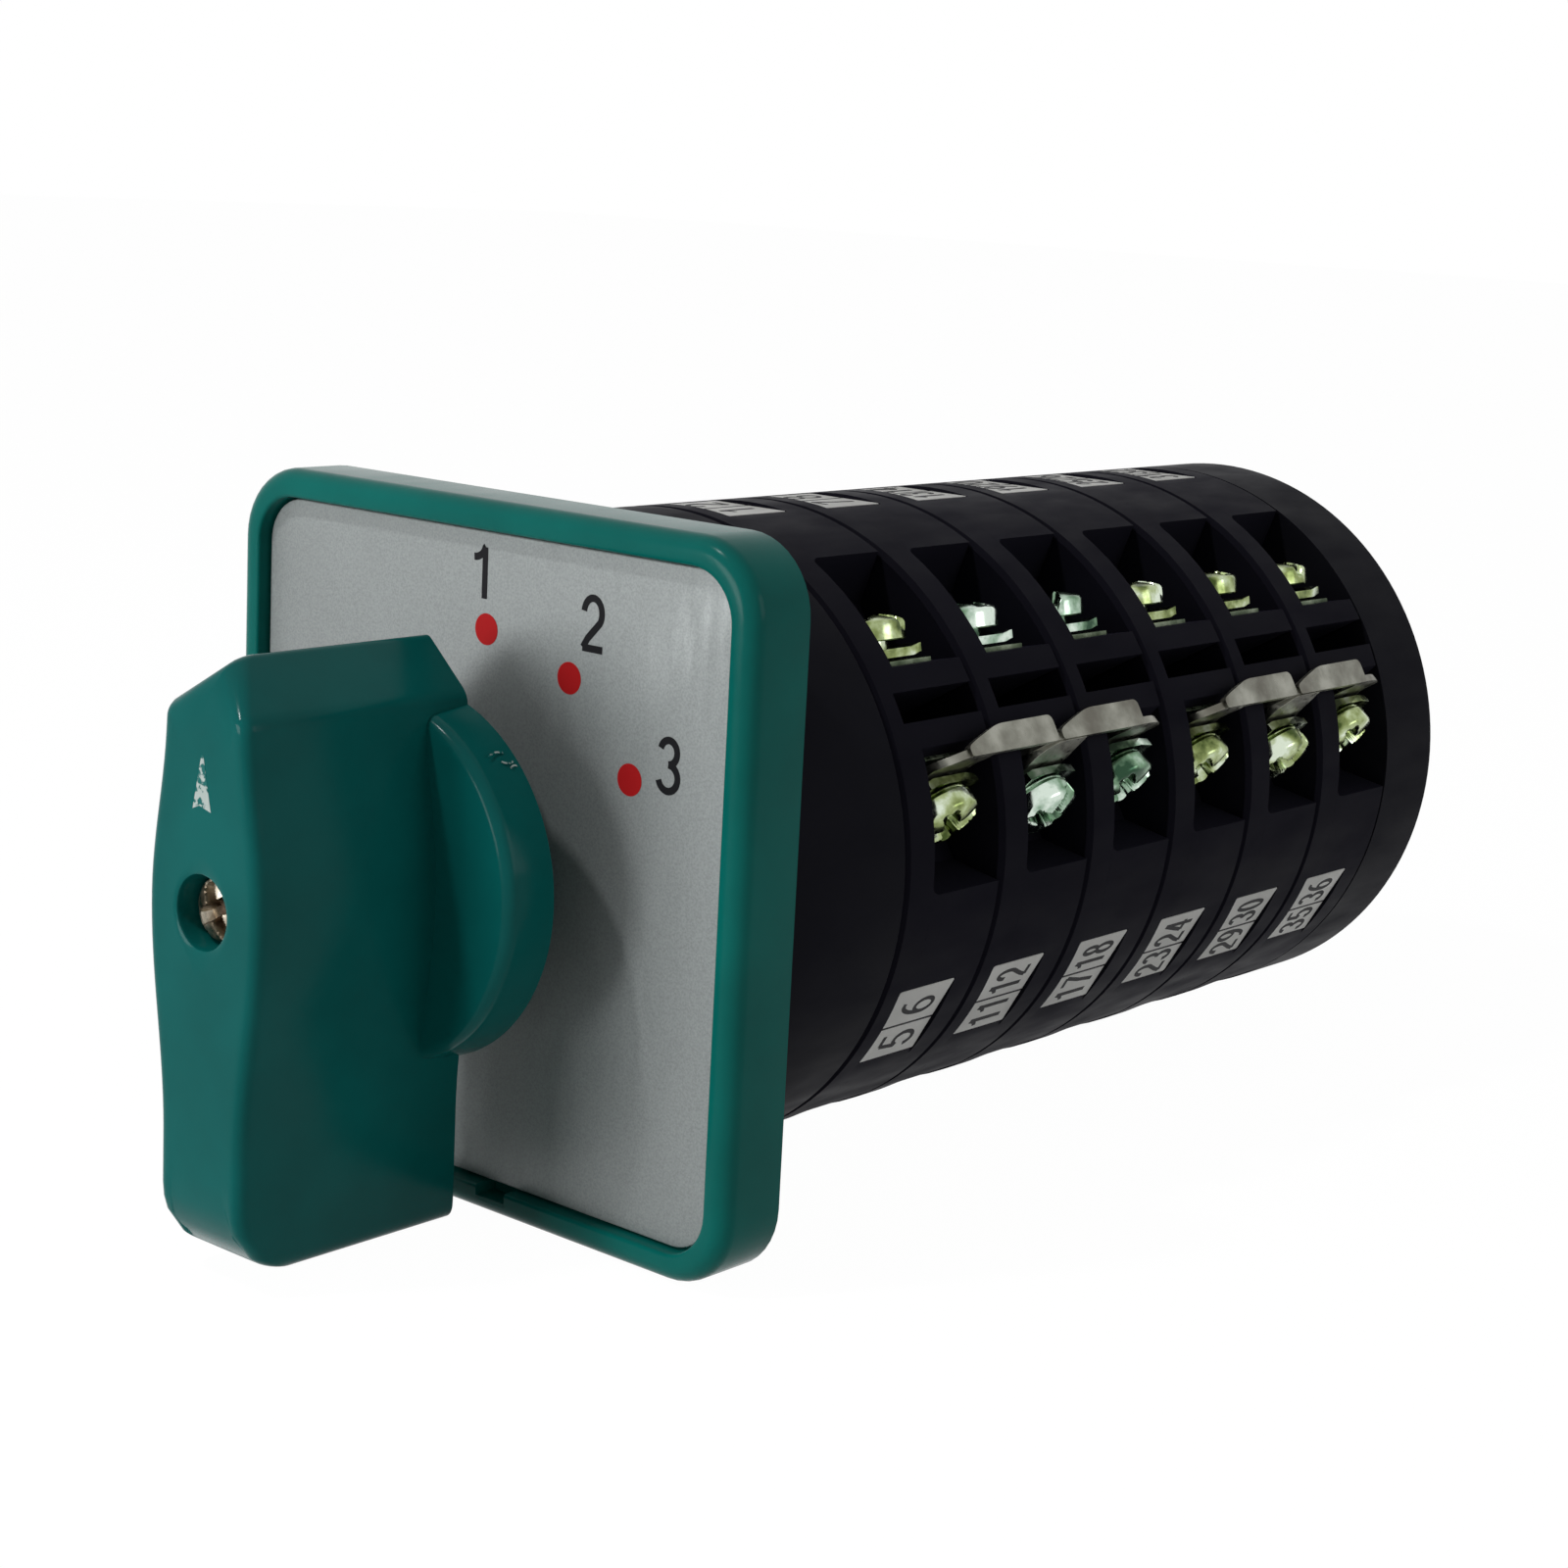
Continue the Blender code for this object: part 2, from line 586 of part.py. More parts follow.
def make_knob():
    """Pointer knob: a boat-shaped grip on a round skirt, bored square for the shaft."""
    front_view = outline_mesh("grip", [grip_front_outline()], KNOB_FRONT, KNOB_REAR)
    grip = add_object("grip_blank", front_view, cutter=True)
    wide = 2 * GRIP_HALF_WIDTH
    side_view = outline_mesh("side_view", [grip_side_outline()], -wide, wide)
    combine(grip, "INTERSECT", tidied(side_view, Matrix.Rotation(-math.pi / 2, 4, "Z")))
    body = tidied(baked(grip))
    bevel_where(body, lambda co: co.y < KNOB_REAR - GRIP_EDGE, GRIP_EDGE, 2)
    knob = add_object("knob", tidied(body), finish("teal_knob", TEAL, 0.18))
    skirt = along_axis(turned_mesh("skirt", [(0.0, KNOB_REAR), (SKIRT_REAR_RADIUS, KNOB_REAR),
                                             (SKIRT_FRONT_RADIUS, SKIRT_FRONT),
                                             (0.0, SKIRT_FRONT)], BODY_STEPS))
    collar = cylinder_mesh("collar", KNOB_COLLAR_RADIUS, KNOB_REAR - CUT_MARGIN,
                           DIAL_FRONT - GAP, HOLE_STEPS)
    join(knob, skirt, collar)
    half = SHAFT_HOLE / 2
    bore = outline_mesh("square_bore", [rectangle(-half, half, -half, half)],
                        SHAFT_FRONT - GAP, DIAL_FRONT)
    recess = cylinder_mesh("screw_recess", RECESS_RADIUS, KNOB_FRONT - CUT_MARGIN,
                           KNOB_FRONT + RECESS_DEPTH, BORE_STEPS)
    shank = cylinder_mesh("shank_hole", KNOB_SCREW_SHANK_RADIUS + GAP,
                          KNOB_FRONT + RECESS_DEPTH - CUT_MARGIN, SHAFT_FRONT, HUB_STEPS)
    cut(knob, bore, recess, shank)


def make_knob_screw():
    """Screw in the knob's recess that holds the knob on the shaft."""
    under = KNOB_FRONT + RECESS_DEPTH - GAP
    top = under - KNOB_SCREW_HEAD_HEIGHT
    tip = under + KNOB_SCREW_LENGTH
    profile = [(0.0, -top), (KNOB_SCREW_HEAD_RADIUS - KNOB_SCREW_CROWN, -top),
               (KNOB_SCREW_HEAD_RADIUS, -top - KNOB_SCREW_CROWN),
               (KNOB_SCREW_HEAD_RADIUS, -under), (KNOB_SCREW_SHANK_RADIUS, -under),
               (KNOB_SCREW_SHANK_RADIUS, -tip), (0.0, -tip)]
    screw = tidied(turned_mesh("knob_screw", profile, HUB_STEPS),
                   Matrix.Rotation(math.pi / 2, 4, "X"))
    add_object("knob_screw", screw, finish("yellow_zinc_screw", YELLOW_ZINC, 0.3, 0.9))


def make_shaft():
    """Square shaft with a threaded front bore and a round journal at the rear."""
    half = SHAFT_SIDE / 2
    rear = REAR_PLATE_FRONT
    square = outline_mesh("switch_shaft", [rectangle(-half, half, -half, half)],
                          SHAFT_FRONT, rear)
    shaft = add_object("switch_shaft", square, finish("shaft_steel", STEEL, 0.35, 0.9))
    join(shaft, cylinder_mesh("journal", JOURNAL_RADIUS, rear - CUT_MARGIN,
                              rear + JOURNAL_LENGTH, BORE_STEPS))
    depth = KNOB_FRONT + RECESS_DEPTH + KNOB_SCREW_LENGTH + GAP
    cut(shaft, cylinder_mesh("screw_bore", KNOB_SCREW_SHANK_RADIUS + GAP,
                             SHAFT_FRONT - CUT_MARGIN, depth, HUB_STEPS))


# Index mechanism

def body_blank(name, front, rear, rear_edge=0.0):
    """Round body ring from Y front to Y rear, bevelled at the front, or at both ends."""
    profile = [(0.0, rear), (BODY_RADIUS - rear_edge, rear), (BODY_RADIUS, rear - rear_edge),
               (BODY_RADIUS, front + BODY_EDGE), (BODY_RADIUS - BODY_EDGE, front), (0.0, front)]
    if rear_edge == 0.0:
        del profile[1]
    return along_axis(turned_mesh(name, profile, BODY_STEPS))


def tie_rod_places():
    """Centres (x, z) of the tie rods, between the terminals of each direction."""
    return [turned_point(angle, TIE_ROD_CIRCLE, 0.0) for angle in TERMINAL_ANGLES]


def tie_rod_holes(front, rear):
    """Cutter for the three tie rod holes."""
    hole = cylinder_mesh("hole", TIE_ROD_RADIUS + GAP, front, rear, SMALL_STEPS)
    places = [Matrix.Translation((x, 0.0, z)) for x, z in tie_rod_places()]
    return copies("tie_rod_holes", hole, places)


def stop_pin_angles():
    """Angles of the two stop pins, each a clearance beyond the lug's last place."""
    reach = math.degrees(math.asin((STOP_PIN_RADIUS + GAP) / STOP_PIN_CIRCLE))
    swing = KNOB_TRAVEL / 2 + STOP_LUG_HALF_ANGLE + reach
    return (90.0 + swing, 90.0 - swing)


def make_front_housing():
    """Housing behind the panel, hollow for the star wheel and its two index plungers."""
    housing = add_object("front_housing", body_blank("front_housing", GAP, FRONT_HOUSING_LENGTH),
                         finish("black_front_housing", BLACK, 0.42))
    rear = FRONT_HOUSING_LENGTH + CUT_MARGIN
    floor = STAR_FRONT - GAP
    cavity = cylinder_mesh("index_cavity", INDEX_CAVITY_RADIUS, floor, rear, HOLE_STEPS)
    hub_hole = cylinder_mesh("hub_hole", HUB_RADIUS + HUB_GAP, 0.0, floor + CUT_MARGIN,
                             HUB_STEPS)
    half = PLUNGER_HALF_WIDTH + RUNNING_GAP
    channels = outline_mesh("plunger_channels", [rectangle(-INDEX_CHANNEL_END, INDEX_CHANNEL_END,
                                                           -half, half)], floor, rear)
    screw_holes = copies("screw_holes",
                         cylinder_mesh("hole", MOUNT_SHANK_RADIUS + GAP, 0.0,
                                       MOUNT_SCREW_REACH + GAP, SMALL_STEPS),
                         [Matrix.Translation((x, 0.0, z)) for x, z in mount_screw_places()])
    rods = tie_rod_holes(FRONT_HOUSING_LENGTH - TIE_ROD_REACH - GAP, rear)
    cut(housing, cavity, hub_hole, channels, screw_holes, rods)
    pins = [turned_point(angle, STOP_PIN_CIRCLE, 0.0) for angle in stop_pin_angles()]
    pin = cylinder_mesh("pin", STOP_PIN_RADIUS, floor - STOP_PIN_RADIUS, STAR_REAR, SMALL_STEPS)
    join(housing, copies("stop_pins", pin, [Matrix.Translation((x, 0.0, z)) for x, z in pins]))


def star_outline():
    """Index wheel: a notch every 30 degrees, and the stop lug standing past the lobes."""
    middle = 90.0 + KNOB_TRAVEL / 2
    lug = [middle - STOP_LUG_HALF_ANGLE, middle + STOP_LUG_HALF_ANGLE]
    steps = 3 * STAR_LOBES
    points = []
    for i in range(steps):
        angle = 360.0 * i / steps
        if lug[0] <= angle <= lug[1]:
            continue
        dip = (1 + math.cos(math.radians(angle * STAR_LOBES))) / 2
        points.append((angle, STAR_RADIUS - STAR_NOTCH_DEPTH * dip))
    for angle in (lug[0], middle, lug[1]):
        points.append((angle, STOP_LUG_RADIUS))
    for angle in lug:
        foot = angle + math.copysign(STOP_LUG_DRAFT, angle - middle)
        points.append((foot, STAR_RADIUS - STAR_NOTCH_DEPTH))
    return [turned_point(angle, radius, 0.0) for angle, radius in sorted(points)]


def make_star_wheel():
    """Index wheel on the shaft: twelve notches, a stop lug and a hub."""
    star = add_object("star_wheel", outline_mesh("star_wheel", [star_outline()], STAR_FRONT,
                                                 STAR_REAR), finish("star_nylon", NYLON, 0.5))
    join(star, cylinder_mesh("hub", HUB_RADIUS, 2 * GAP, FRONT_HOUSING_LENGTH - GAP / 2,
                             HUB_STEPS))
    half = SHAFT_HOLE / 2
    cut(star, outline_mesh("square_hole", [rectangle(-half, half, -half, half)],
                           0.0, FRONT_HOUSING_LENGTH + CUT_MARGIN))


def make_index_plungers():
    """Roller-ended plunger and its spring on each side of the star wheel."""
    front = STAR_FRONT
    rear = STAR_REAR
    centre = STAR_RADIUS + GAP + ROLLER_RADIUS
    end = centre + PLUNGER_LENGTH
    spring = coil_mesh("spring", INDEX_SPRING_RADIUS, INDEX_CHANNEL_END - end - 2 * GAP)
    tidied(spring, Matrix.Translation((end + GAP, (front + rear) / 2, 0.0))
           @ Matrix.Rotation(math.pi / 2, 4, "Y"))
    nylon = finish("plunger_nylon", NYLON, 0.5)
    steel = finish("index_spring_steel", STEEL, 0.3, 1.0)
    for name, angle in (("right", 0.0), ("left", 180.0)):
        block = outline_mesh("plunger", [rectangle(centre, end, -PLUNGER_HALF_WIDTH,
                                                   PLUNGER_HALF_WIDTH)], front, rear)
        plunger = add_object("index_plunger_" + name, tidied(block, turn(angle)), nylon)
        roller = cylinder_mesh("roller", ROLLER_RADIUS, front + RUNNING_GAP,
                               rear - RUNNING_GAP, HUB_STEPS, (centre, 0.0))
        join(plunger, tidied(roller, turn(angle)))
        add_object("index_spring_" + name, copies("spring", spring, [turn(angle)]), steel)


# Contact stages

def strip_path():
    """Middle of a fixed contact: down the leaning seat, then up to the tip under the bridge."""
    tip_x, tip_z = turned_point(LABEL_OFFSET, STRIP_TIP_RADIAL, -STRIP_TIP_END)
    fall = math.tan(math.radians(90.0 - LABEL_OFFSET))
    outer_x = SCREW_RADIAL + STRIP_REACH
    bend_x = ((tip_z + tip_x * fall - leaning_level(STRIP_THICKNESS / 2, 0.0))
              / (fall - LEAN_SLOPE))
    return [(x, leaning_level(STRIP_THICKNESS / 2, x)) for x in (outer_x, bend_x)] + [(tip_x, tip_z)]


def leaning_level(height, x):
    """Level over the pair's middle, at a distance outwards, of a plane above the seat."""
    return SEAT_LEVEL + height / LEAN_COSINE + (SCREW_RADIAL - x) * LEAN_SLOPE


def side_frame(angle, side):
    """Frame of one side of a terminal direction: X outwards, Z away from the middle."""
    return turn(angle) @ Matrix.Scale(side, 4, (0.0, 0.0, 1.0))


def seat_frame(angle, side):
    """Frame of one terminal screw: origin under the strip, Z along the screw, X outwards."""
    return (side_frame(angle, side)
            @ Matrix.Translation((SCREW_RADIAL, SCREW_STATION, SEAT_LEVEL))
            @ Matrix.Rotation(math.radians(SCREW_TILT), 4, "Y"))


def terminal_sides():
    """The six terminals of a stage, as (direction, side)."""
    return [(angle, side) for angle in TERMINAL_ANGLES for side in (1, -1)]


def chamber_outline():
    """Terminal chamber: the leaning shelf below, the label block beyond, open at the rim."""
    rim_x, rim_z = turned_point(CHAMBER_HALF_ANGLE, BODY_RADIUS, 0.0)
    slope = (rim_z - CHAMBER_WALL_RISE) / (rim_x - CHAMBER_FLOOR)
    outside = CHAMBER_WALL_RISE + slope * (BEYOND_RIM - CHAMBER_FLOOR)
    shelf = [(x, leaning_level(CUT_MARGIN, x)) for x in (CHAMBER_FLOOR, BEYOND_RIM)]
    return shelf + [(BEYOND_RIM, outside), (CHAMBER_FLOOR, CHAMBER_WALL_RISE)]


def crowned_head(level):
    """Profile of a terminal screw's head, from its middle down to its rim."""
    top = level + TERMINAL_HEAD_HEIGHT
    return [(0.0, top), (TERMINAL_HEAD_RADIUS - TERMINAL_HEAD_CROWN, top),
            (TERMINAL_HEAD_RADIUS, top - TERMINAL_HEAD_CROWN), (TERMINAL_HEAD_RADIUS, level)]


def screw_mesh(under_head):
    """A terminal screw about Z whose head begins at this height."""
    profile = crowned_head(under_head) + [(TERMINAL_SHANK_RADIUS, under_head),
                                          (TERMINAL_SHANK_RADIUS, -TERMINAL_TAIL),
                                          (0.0, -TERMINAL_TAIL)]
    return turned_mesh("screw", profile, SMALL_STEPS)


def head_mesh(level):
    """The head alone, as it stands on its clamp in a moulded terminal."""
    return turned_mesh("head", crowned_head(level) + [(0.0, level)], SMALL_STEPS)


def clamp_mesh(level):
    """Square clamp plate that is captive under a screw head."""
    half_length = CLAMP_LENGTH / 2
    half_width = CLAMP_WIDTH / 2
    return slab_mesh("clamp", [rectangle(-half_length, half_length, -half_width, half_width)],
                     level, level + CLAMP_THICKNESS)


def make_stage_mesh():
    """One moulded stage: front flange, cam cavity, three bridge pockets, six terminals.

    Its contact strips are moulded in, and five of its six screws stay in the moulding;
    the sixth, which clamps the jumper links, is a piece of its own.
    """
    rear = STAGE_PITCH + CUT_MARGIN
    blank = add_object("stage_blank", body_blank("stage", GAP, STAGE_PITCH), cutter=True)
    station = SCREW_STATION
    cavity = cylinder_mesh("cam_cavity", CAM_CAVITY_RADIUS, CAM_CAVITY_FRONT, rear,
                           BORE_STEPS)
    hub_hole = cylinder_mesh("hub_hole", HUB_RADIUS + HUB_GAP, 0.0,
                             CAM_CAVITY_FRONT + CUT_MARGIN, HUB_STEPS)
    thirds = [turn(angle) for angle in TERMINAL_ANGLES]
    labels = [turn(angle + LABEL_OFFSET) for angle in TERMINAL_ANGLES]
    sides = [side_frame(angle, side) for angle, side in terminal_sides()]
    half = FOLLOWER_HALF_WIDTH + RUNNING_GAP
    neck = outline_mesh("neck", [rectangle(CAM_CAVITY_RADIUS - 2 * CUT_MARGIN,
                                           BRIDGE_POCKET_FLOOR + CUT_MARGIN, -half, half)],
                        station - FOLLOWER_DEPTH / 2 - RUNNING_GAP, rear)
    half = BRIDGE_POCKET_HALF_WIDTH
    pocket = outline_mesh("pocket", [rectangle(BRIDGE_POCKET_FLOOR, BRIDGE_POCKET_ROOF,
                                               -half, half)], FLANGE_LENGTH, rear)
    chamber = outline_mesh("chamber", [chamber_outline()], FLANGE_LENGTH, rear)
    bevel_where(chamber, lambda co: co.y < FLANGE_LENGTH + CUT_MARGIN
                and co.z > CHAMBER_WALL_RISE - CUT_MARGIN, CHAMBER_ROUND, 2)
    window = outline_mesh("window", [rectangle(SMALL_WINDOW_FLOOR, BEYOND_RIM,
                                               -SMALL_WINDOW_HALF, SMALL_WINDOW_HALF)],
                          FLANGE_LENGTH, rear)
    half = LABEL_WIDTH / 2
    recess = outline_mesh("recess", [rectangle(BODY_RADIUS - LABEL_RECESS, BEYOND_RIM,
                                               -half, half)],
                          LABEL_STATION - LABEL_LENGTH / 2, LABEL_STATION + LABEL_LENGTH / 2)
    cut(blank, cavity, hub_hole, copies("necks", neck, labels), copies("pockets", pocket, labels),
        copies("chambers", chamber, sides), copies("windows", window, thirds),
        copies("label_recesses", recess, labels), tie_rod_holes(0.0, rear))
    strip = outline_mesh("strip", [thick_line(strip_path(), STRIP_THICKNESS / 2)],
                         station - STRIP_WIDTH / 2, station + STRIP_WIDTH / 2)
    fixed = [seat_frame(*key) for key in terminal_sides() if key != LINK_TERMINAL]
    seat = STRIP_THICKNESS - WELD_DEPTH
    join(blank, copies("strips", strip, sides), copies("clamps", clamp_mesh(seat), fixed),
         copies("heads", head_mesh(seat + CLAMP_THICKNESS - WELD_DEPTH), fixed))
    shank = circle(TERMINAL_SHANK_RADIUS + GAP, SMALL_STEPS)
    cut(blank, tidied(slab_mesh("link_screw_hole", [shank], -TERMINAL_TAIL - TERMINAL_TAIL_ROOM,
                                STRIP_THICKNESS + GAP), seat_frame(*LINK_TERMINAL)))
    return shared_mesh("contact_stage", blank, finish("black_stage", BLACK, 0.45))


def shared_mesh(name, blank, material):
    """The finished mesh of a blank, for several objects to share."""
    mesh = tidied(baked(blank))
    mesh.name = name
    mesh.materials.clear()
    mesh.materials.append(material)
    return mesh


def cam_radius(degrees):
    """Cam profile: at rest the top follower is on the low part, the other two on the high.

    The knob's full travel lifts the top follower and lets the other two down evenly.
    """
    top, left, right = [angle + LABEL_OFFSET for angle in TERMINAL_ANGLES]
    knots = [(top, 0.0), (top + KNOB_TRAVEL, 1.0), (left, 1.0), (left + KNOB_TRAVEL, 0.0),
             (right - CAM_RISE, 0.0), (right, 1.0), (right + KNOB_TRAVEL, 0.0)]
    angle = top + (degrees - top) % 360.0
    for (start, low), (end, high) in zip(knots, knots[1:]):
        if start <= angle <= end:
            share = low + (high - low) * (angle - start) / (end - start)
            return CAM_LOW + CAM_LIFT * share
    return CAM_LOW


def make_cam_mesh():
    """Contact cam with its hub, bored square for the shaft."""
    angles = [360.0 * i / CAM_STEPS for i in range(CAM_STEPS)]
    points = [turned_point(angle, cam_radius(angle), 0.0) for angle in angles]
    blank = add_object("cam_blank", outline_mesh("cam", [points],
                                                 SCREW_STATION - CAM_THICKNESS / 2,
                                                 SCREW_STATION + CAM_THICKNESS / 2), cutter=True)
    join(blank, cylinder_mesh("hub", HUB_RADIUS, GAP / 2, STAGE_PITCH - GAP / 2, HUB_STEPS))
    half = SHAFT_HOLE / 2
    cut(blank, outline_mesh("square_hole", [rectangle(-half, half, -half, half)],
                            0.0, STAGE_PITCH))
    return shared_mesh("contact_cam", blank, finish("cam_nylon", NYLON, 0.5))


def stage_front(number):
    """Y where a stage begins, counting from 1."""
    return FRONT_HOUSING_LENGTH + (number - 1) * STAGE_PITCH


def make_stages():
    """Six housings and six cams, one behind the other."""
    stage_mesh = make_stage_mesh()
    cam_mesh = make_cam_mesh()
    for number in range(1, STAGE_COUNT + 1):
        add_object("stage_housing_%d" % number, stage_mesh).location.y = stage_front(number)
        add_object("cam_%d" % number, cam_mesh).location.y = stage_front(number)


# Moving contacts

def make_contact_mesh():
    """Moving contact of one pair: follower, bridge and spring, about +X, on the low cam."""
    station = SCREW_STATION
    nose = CAM_LOW + RUNNING_GAP
    under = BRIDGE_CLOSED
    top = under + BRIDGE_THICKNESS
    wide = FOLLOWER_HALF_WIDTH
    tip = FOLLOWER_NOSE_HALF_WIDTH
    stem = (under + top) / 2
    follower = outline_mesh("follower", [[(nose, -tip), (nose + wide - tip, -wide),
                                          (stem, -wide), (stem, wide),
                                          (nose + wide - tip, wide), (nose, tip)]],
                            station - FOLLOWER_DEPTH / 2, station + FOLLOWER_DEPTH / 2)
    blank = add_object("contact_blank", follower, cutter=True)
    half = BRIDGE_HALF_LENGTH
    slope = 2 * BRIDGE_DROP
    bridge = outline_mesh("bridge", [[(under, -half), (under, half), (top - BRIDGE_DROP, half),
                                      (top, half - slope), (top, -half + slope),
                                      (top - BRIDGE_DROP, -half)]],
                          station - BRIDGE_WIDTH / 2, station + BRIDGE_WIDTH / 2)
    seat = top - SPRING_WIRE_RADIUS
    spring = coil_mesh("spring", CONTACT_SPRING_RADIUS,
                       BRIDGE_POCKET_ROOF - GAP - CAM_LIFT - seat)
    tidied(spring, Matrix.Translation((seat, station, 0.0)) @ Matrix.Rotation(math.pi / 2, 4, "Y"))
    join(blank, bridge, spring)
    return shared_mesh("moving_contact", blank, finish("bridge_copper", COPPER, 0.35, 0.9))


def make_moving_contacts():
    """Eighteen moving contacts; the top group rests closed, the other two rest lifted."""
    mesh = make_contact_mesh()
    groups = (("top", TERMINAL_ANGLES[0], 0.0), ("left", TERMINAL_ANGLES[1], CAM_LIFT),
              ("right", TERMINAL_ANGLES[2], CAM_LIFT))
    for group, angle, lift in groups:
        for number in range(1, STAGE_COUNT + 1):
            contact = add_object("contact_%s_%d" % (group, number), mesh)
            contact.matrix_world = (Matrix.Translation((0.0, stage_front(number), 0.0))
                                    @ turn(angle + LABEL_OFFSET)
                                    @ Matrix.Translation((lift, 0.0, 0.0)))


# Jumper links and their screws

def links_at(number):
    """The jumper links at one stage, in the order that they are stacked."""
    return [pair for pair in LINKED_STAGES if number in pair]


def lug_level(order):
    """Height of a lug along its screw, by its place in the stack."""
    return STRIP_THICKNESS + GAP + order * (LINK_THICKNESS + GAP)


def make_link_screws():
    """The six screws that clamp the links, each with a captive clamp and spring washer."""
    zinc = finish("link_screw_zinc", YELLOW_ZINC, 0.28, 0.9)
    place = seat_frame(*LINK_TERMINAL)
    for number in range(1, STAGE_COUNT + 1):
        level = lug_level(len(links_at(number)))
        ring_level = level + CLAMP_THICKNESS + WASHER_GAP
        mesh = screw_mesh(ring_level + WASHER_THICKNESS + WASHER_GAP)
        clamp = clamp_mesh(level)
        ring = slab_mesh("ring", [circle(WASHER_RADIUS, SMALL_STEPS)], ring_level,
                         ring_level + WASHER_THICKNESS)
        screw = add_object("link_screw_%d" % number, tidied(mesh, place), zinc)
        screw.location.y = stage_front(number)
        for tool in (clamp, ring):
            combine(screw, "UNION", tidied(tool, place)).location.y = stage_front(number)


def make_links():
    """Jumper links: a lug under each of two screws and an upright bridge past the rim."""
    tin = finish("tinned_link", TIN, 0.3, 0.95)
    inner = BODY_RADIUS + LINK_BRIDGE_CLEARANCE
    outer = inner + LINK_THICKNESS
    half = LINK_LUG_WIDTH / 2
    for pair in LINKED_STAGES:
        levels = [lug_level(links_at(number).index(pair)) for number in pair]
        stations = [stage_front(number) + SCREW_STATION for number in pair]
        start = stations[0] + half + GAP
        end = stations[1] - half - GAP
        lugs = [lug_mesh(level, sign, outer - WELD_DEPTH) for level, sign in zip(levels, (1, -1))]
        places = [Matrix.Translation((0.0, stage_front(number), 0.0)) @ seat_frame(*LINK_TERMINAL)
                  for number in pair]
        tops = [leaning_level(level + LINK_THICKNESS / 2, (inner + outer) / 2) for level in levels]
        low = LINK_BRIDGE_EDGE
        corner = LINK_BRIDGE_ROUND
        near = corner * (1 - math.cos(math.radians(45.0)))
        upright = [(start, tops[0]), (start, low + corner), (start + near, low + near),
                   (start + corner, low), (end - corner, low), (end - near, low + near),
                   (end, low + corner), (end, tops[1]), (end - LINK_EAR, tops[1]),
                   (start + LINK_EAR, tops[0])]
        plate = tidied(slab_mesh("upright", [upright], inner, outer),
                       side_frame(*LINK_TERMINAL) @ ON_SIDE)
        link = add_object("link_%d_%d" % pair, tidied(lugs[0], places[0]), tin)
        join(link, plate, tidied(lugs[1], places[1]))


def lug_mesh(level, sign, outer):
    """Lug of a link at a height along its screw, with an ear on the side of its upright."""
    half = LINK_LUG_WIDTH / 2
    corner = LINK_LUG_CORNER
    start = -LINK_LUG_BACK
    ear = half + GAP + LINK_EAR
    top = level + LINK_THICKNESS
    reach = (outer - SCREW_RADIAL - top * LEAN_SINE) / LEAN_COSINE
    neck = (BODY_RADIUS + 2 * GAP - SCREW_RADIAL - level * LEAN_SINE) / LEAN_COSINE
    points = [(start + corner, -half), (reach - corner, -half), (reach, -half + corner),
              (reach, ear), (neck, ear), (neck, half), (start + corner, half),
              (start, half - corner), (start, -half + corner)]
    hole = circle(TERMINAL_SHANK_RADIUS + GAP, SMALL_STEPS)
    return slab_mesh("lug", [[(x, sign * y) for x, y in points], hole], level, top)


# Rear end

def make_rear_plate():
    """Closing plate with the shaft's bearing and the seats of the tie rod heads."""
    plate = add_object("rear_plate", body_blank("rear_plate", REAR_PLATE_FRONT + GAP,
                                                REAR_PLATE_REAR, REAR_PLATE_EDGE),
                       finish("black_rear_plate", BLACK, 0.42))
    bearing = cylinder_mesh("bearing", JOURNAL_RADIUS + RUNNING_GAP, REAR_PLATE_FRONT,
                            REAR_PLATE_FRONT + JOURNAL_LENGTH + GAP, BORE_STEPS)
    seat_floor = REAR_PLATE_REAR - TIE_HEAD_HEIGHT - 2 * GAP
    seat = cylinder_mesh("seat", TIE_HEAD_RADIUS + GAP, seat_floor,
                         REAR_PLATE_REAR + CUT_MARGIN, SMALL_STEPS)
    seats = copies("head_seats", seat,
                   [Matrix.Translation((x, 0.0, z)) for x, z in tie_rod_places()])
    cut(plate, bearing, tie_rod_holes(REAR_PLATE_FRONT, seat_floor + CUT_MARGIN), seats)


def make_tie_rods():
    """Three long screws from the rear plate through every stage to the front housing."""
    under = REAR_PLATE_REAR - TIE_HEAD_HEIGHT - GAP
    top = under + TIE_HEAD_HEIGHT
    end = FRONT_HOUSING_LENGTH - TIE_ROD_REACH
    profile = [(0.0, top), (TIE_HEAD_RADIUS - TIE_HEAD_CROWN, top),
               (TIE_HEAD_RADIUS, top - TIE_HEAD_CROWN), (TIE_HEAD_RADIUS, under),
               (TIE_ROD_RADIUS, under), (TIE_ROD_RADIUS, end), (0.0, end)]
    rod = along_axis(turned_mesh("tie_rod", profile, SMALL_STEPS))
    rod.materials.append(finish("tie_rod_steel", STEEL, 0.35, 0.9))
    for number, (x, z) in enumerate(tie_rod_places(), 1):
        add_object("tie_rod_%d" % number, rod).location = (x, 0.0, z)


def shade():
    """Smooth the round faces and keep the corners sharp."""
    for thing in part_collection.objects:
        thing.data.shade_smooth()
        thing.data.set_sharp_from_angle(angle=math.radians(30.0))


def main():
    start_scene()
    make_bezel()
    make_dial()
    make_mounting_screws()
    make_knob()
    make_knob_screw()
    make_shaft()
    make_front_housing()
    make_star_wheel()
    make_index_plungers()
    make_stages()
    make_moving_contacts()
    make_link_screws()
    make_links()
    make_rear_plate()
    make_tie_rods()
    shade()


main()
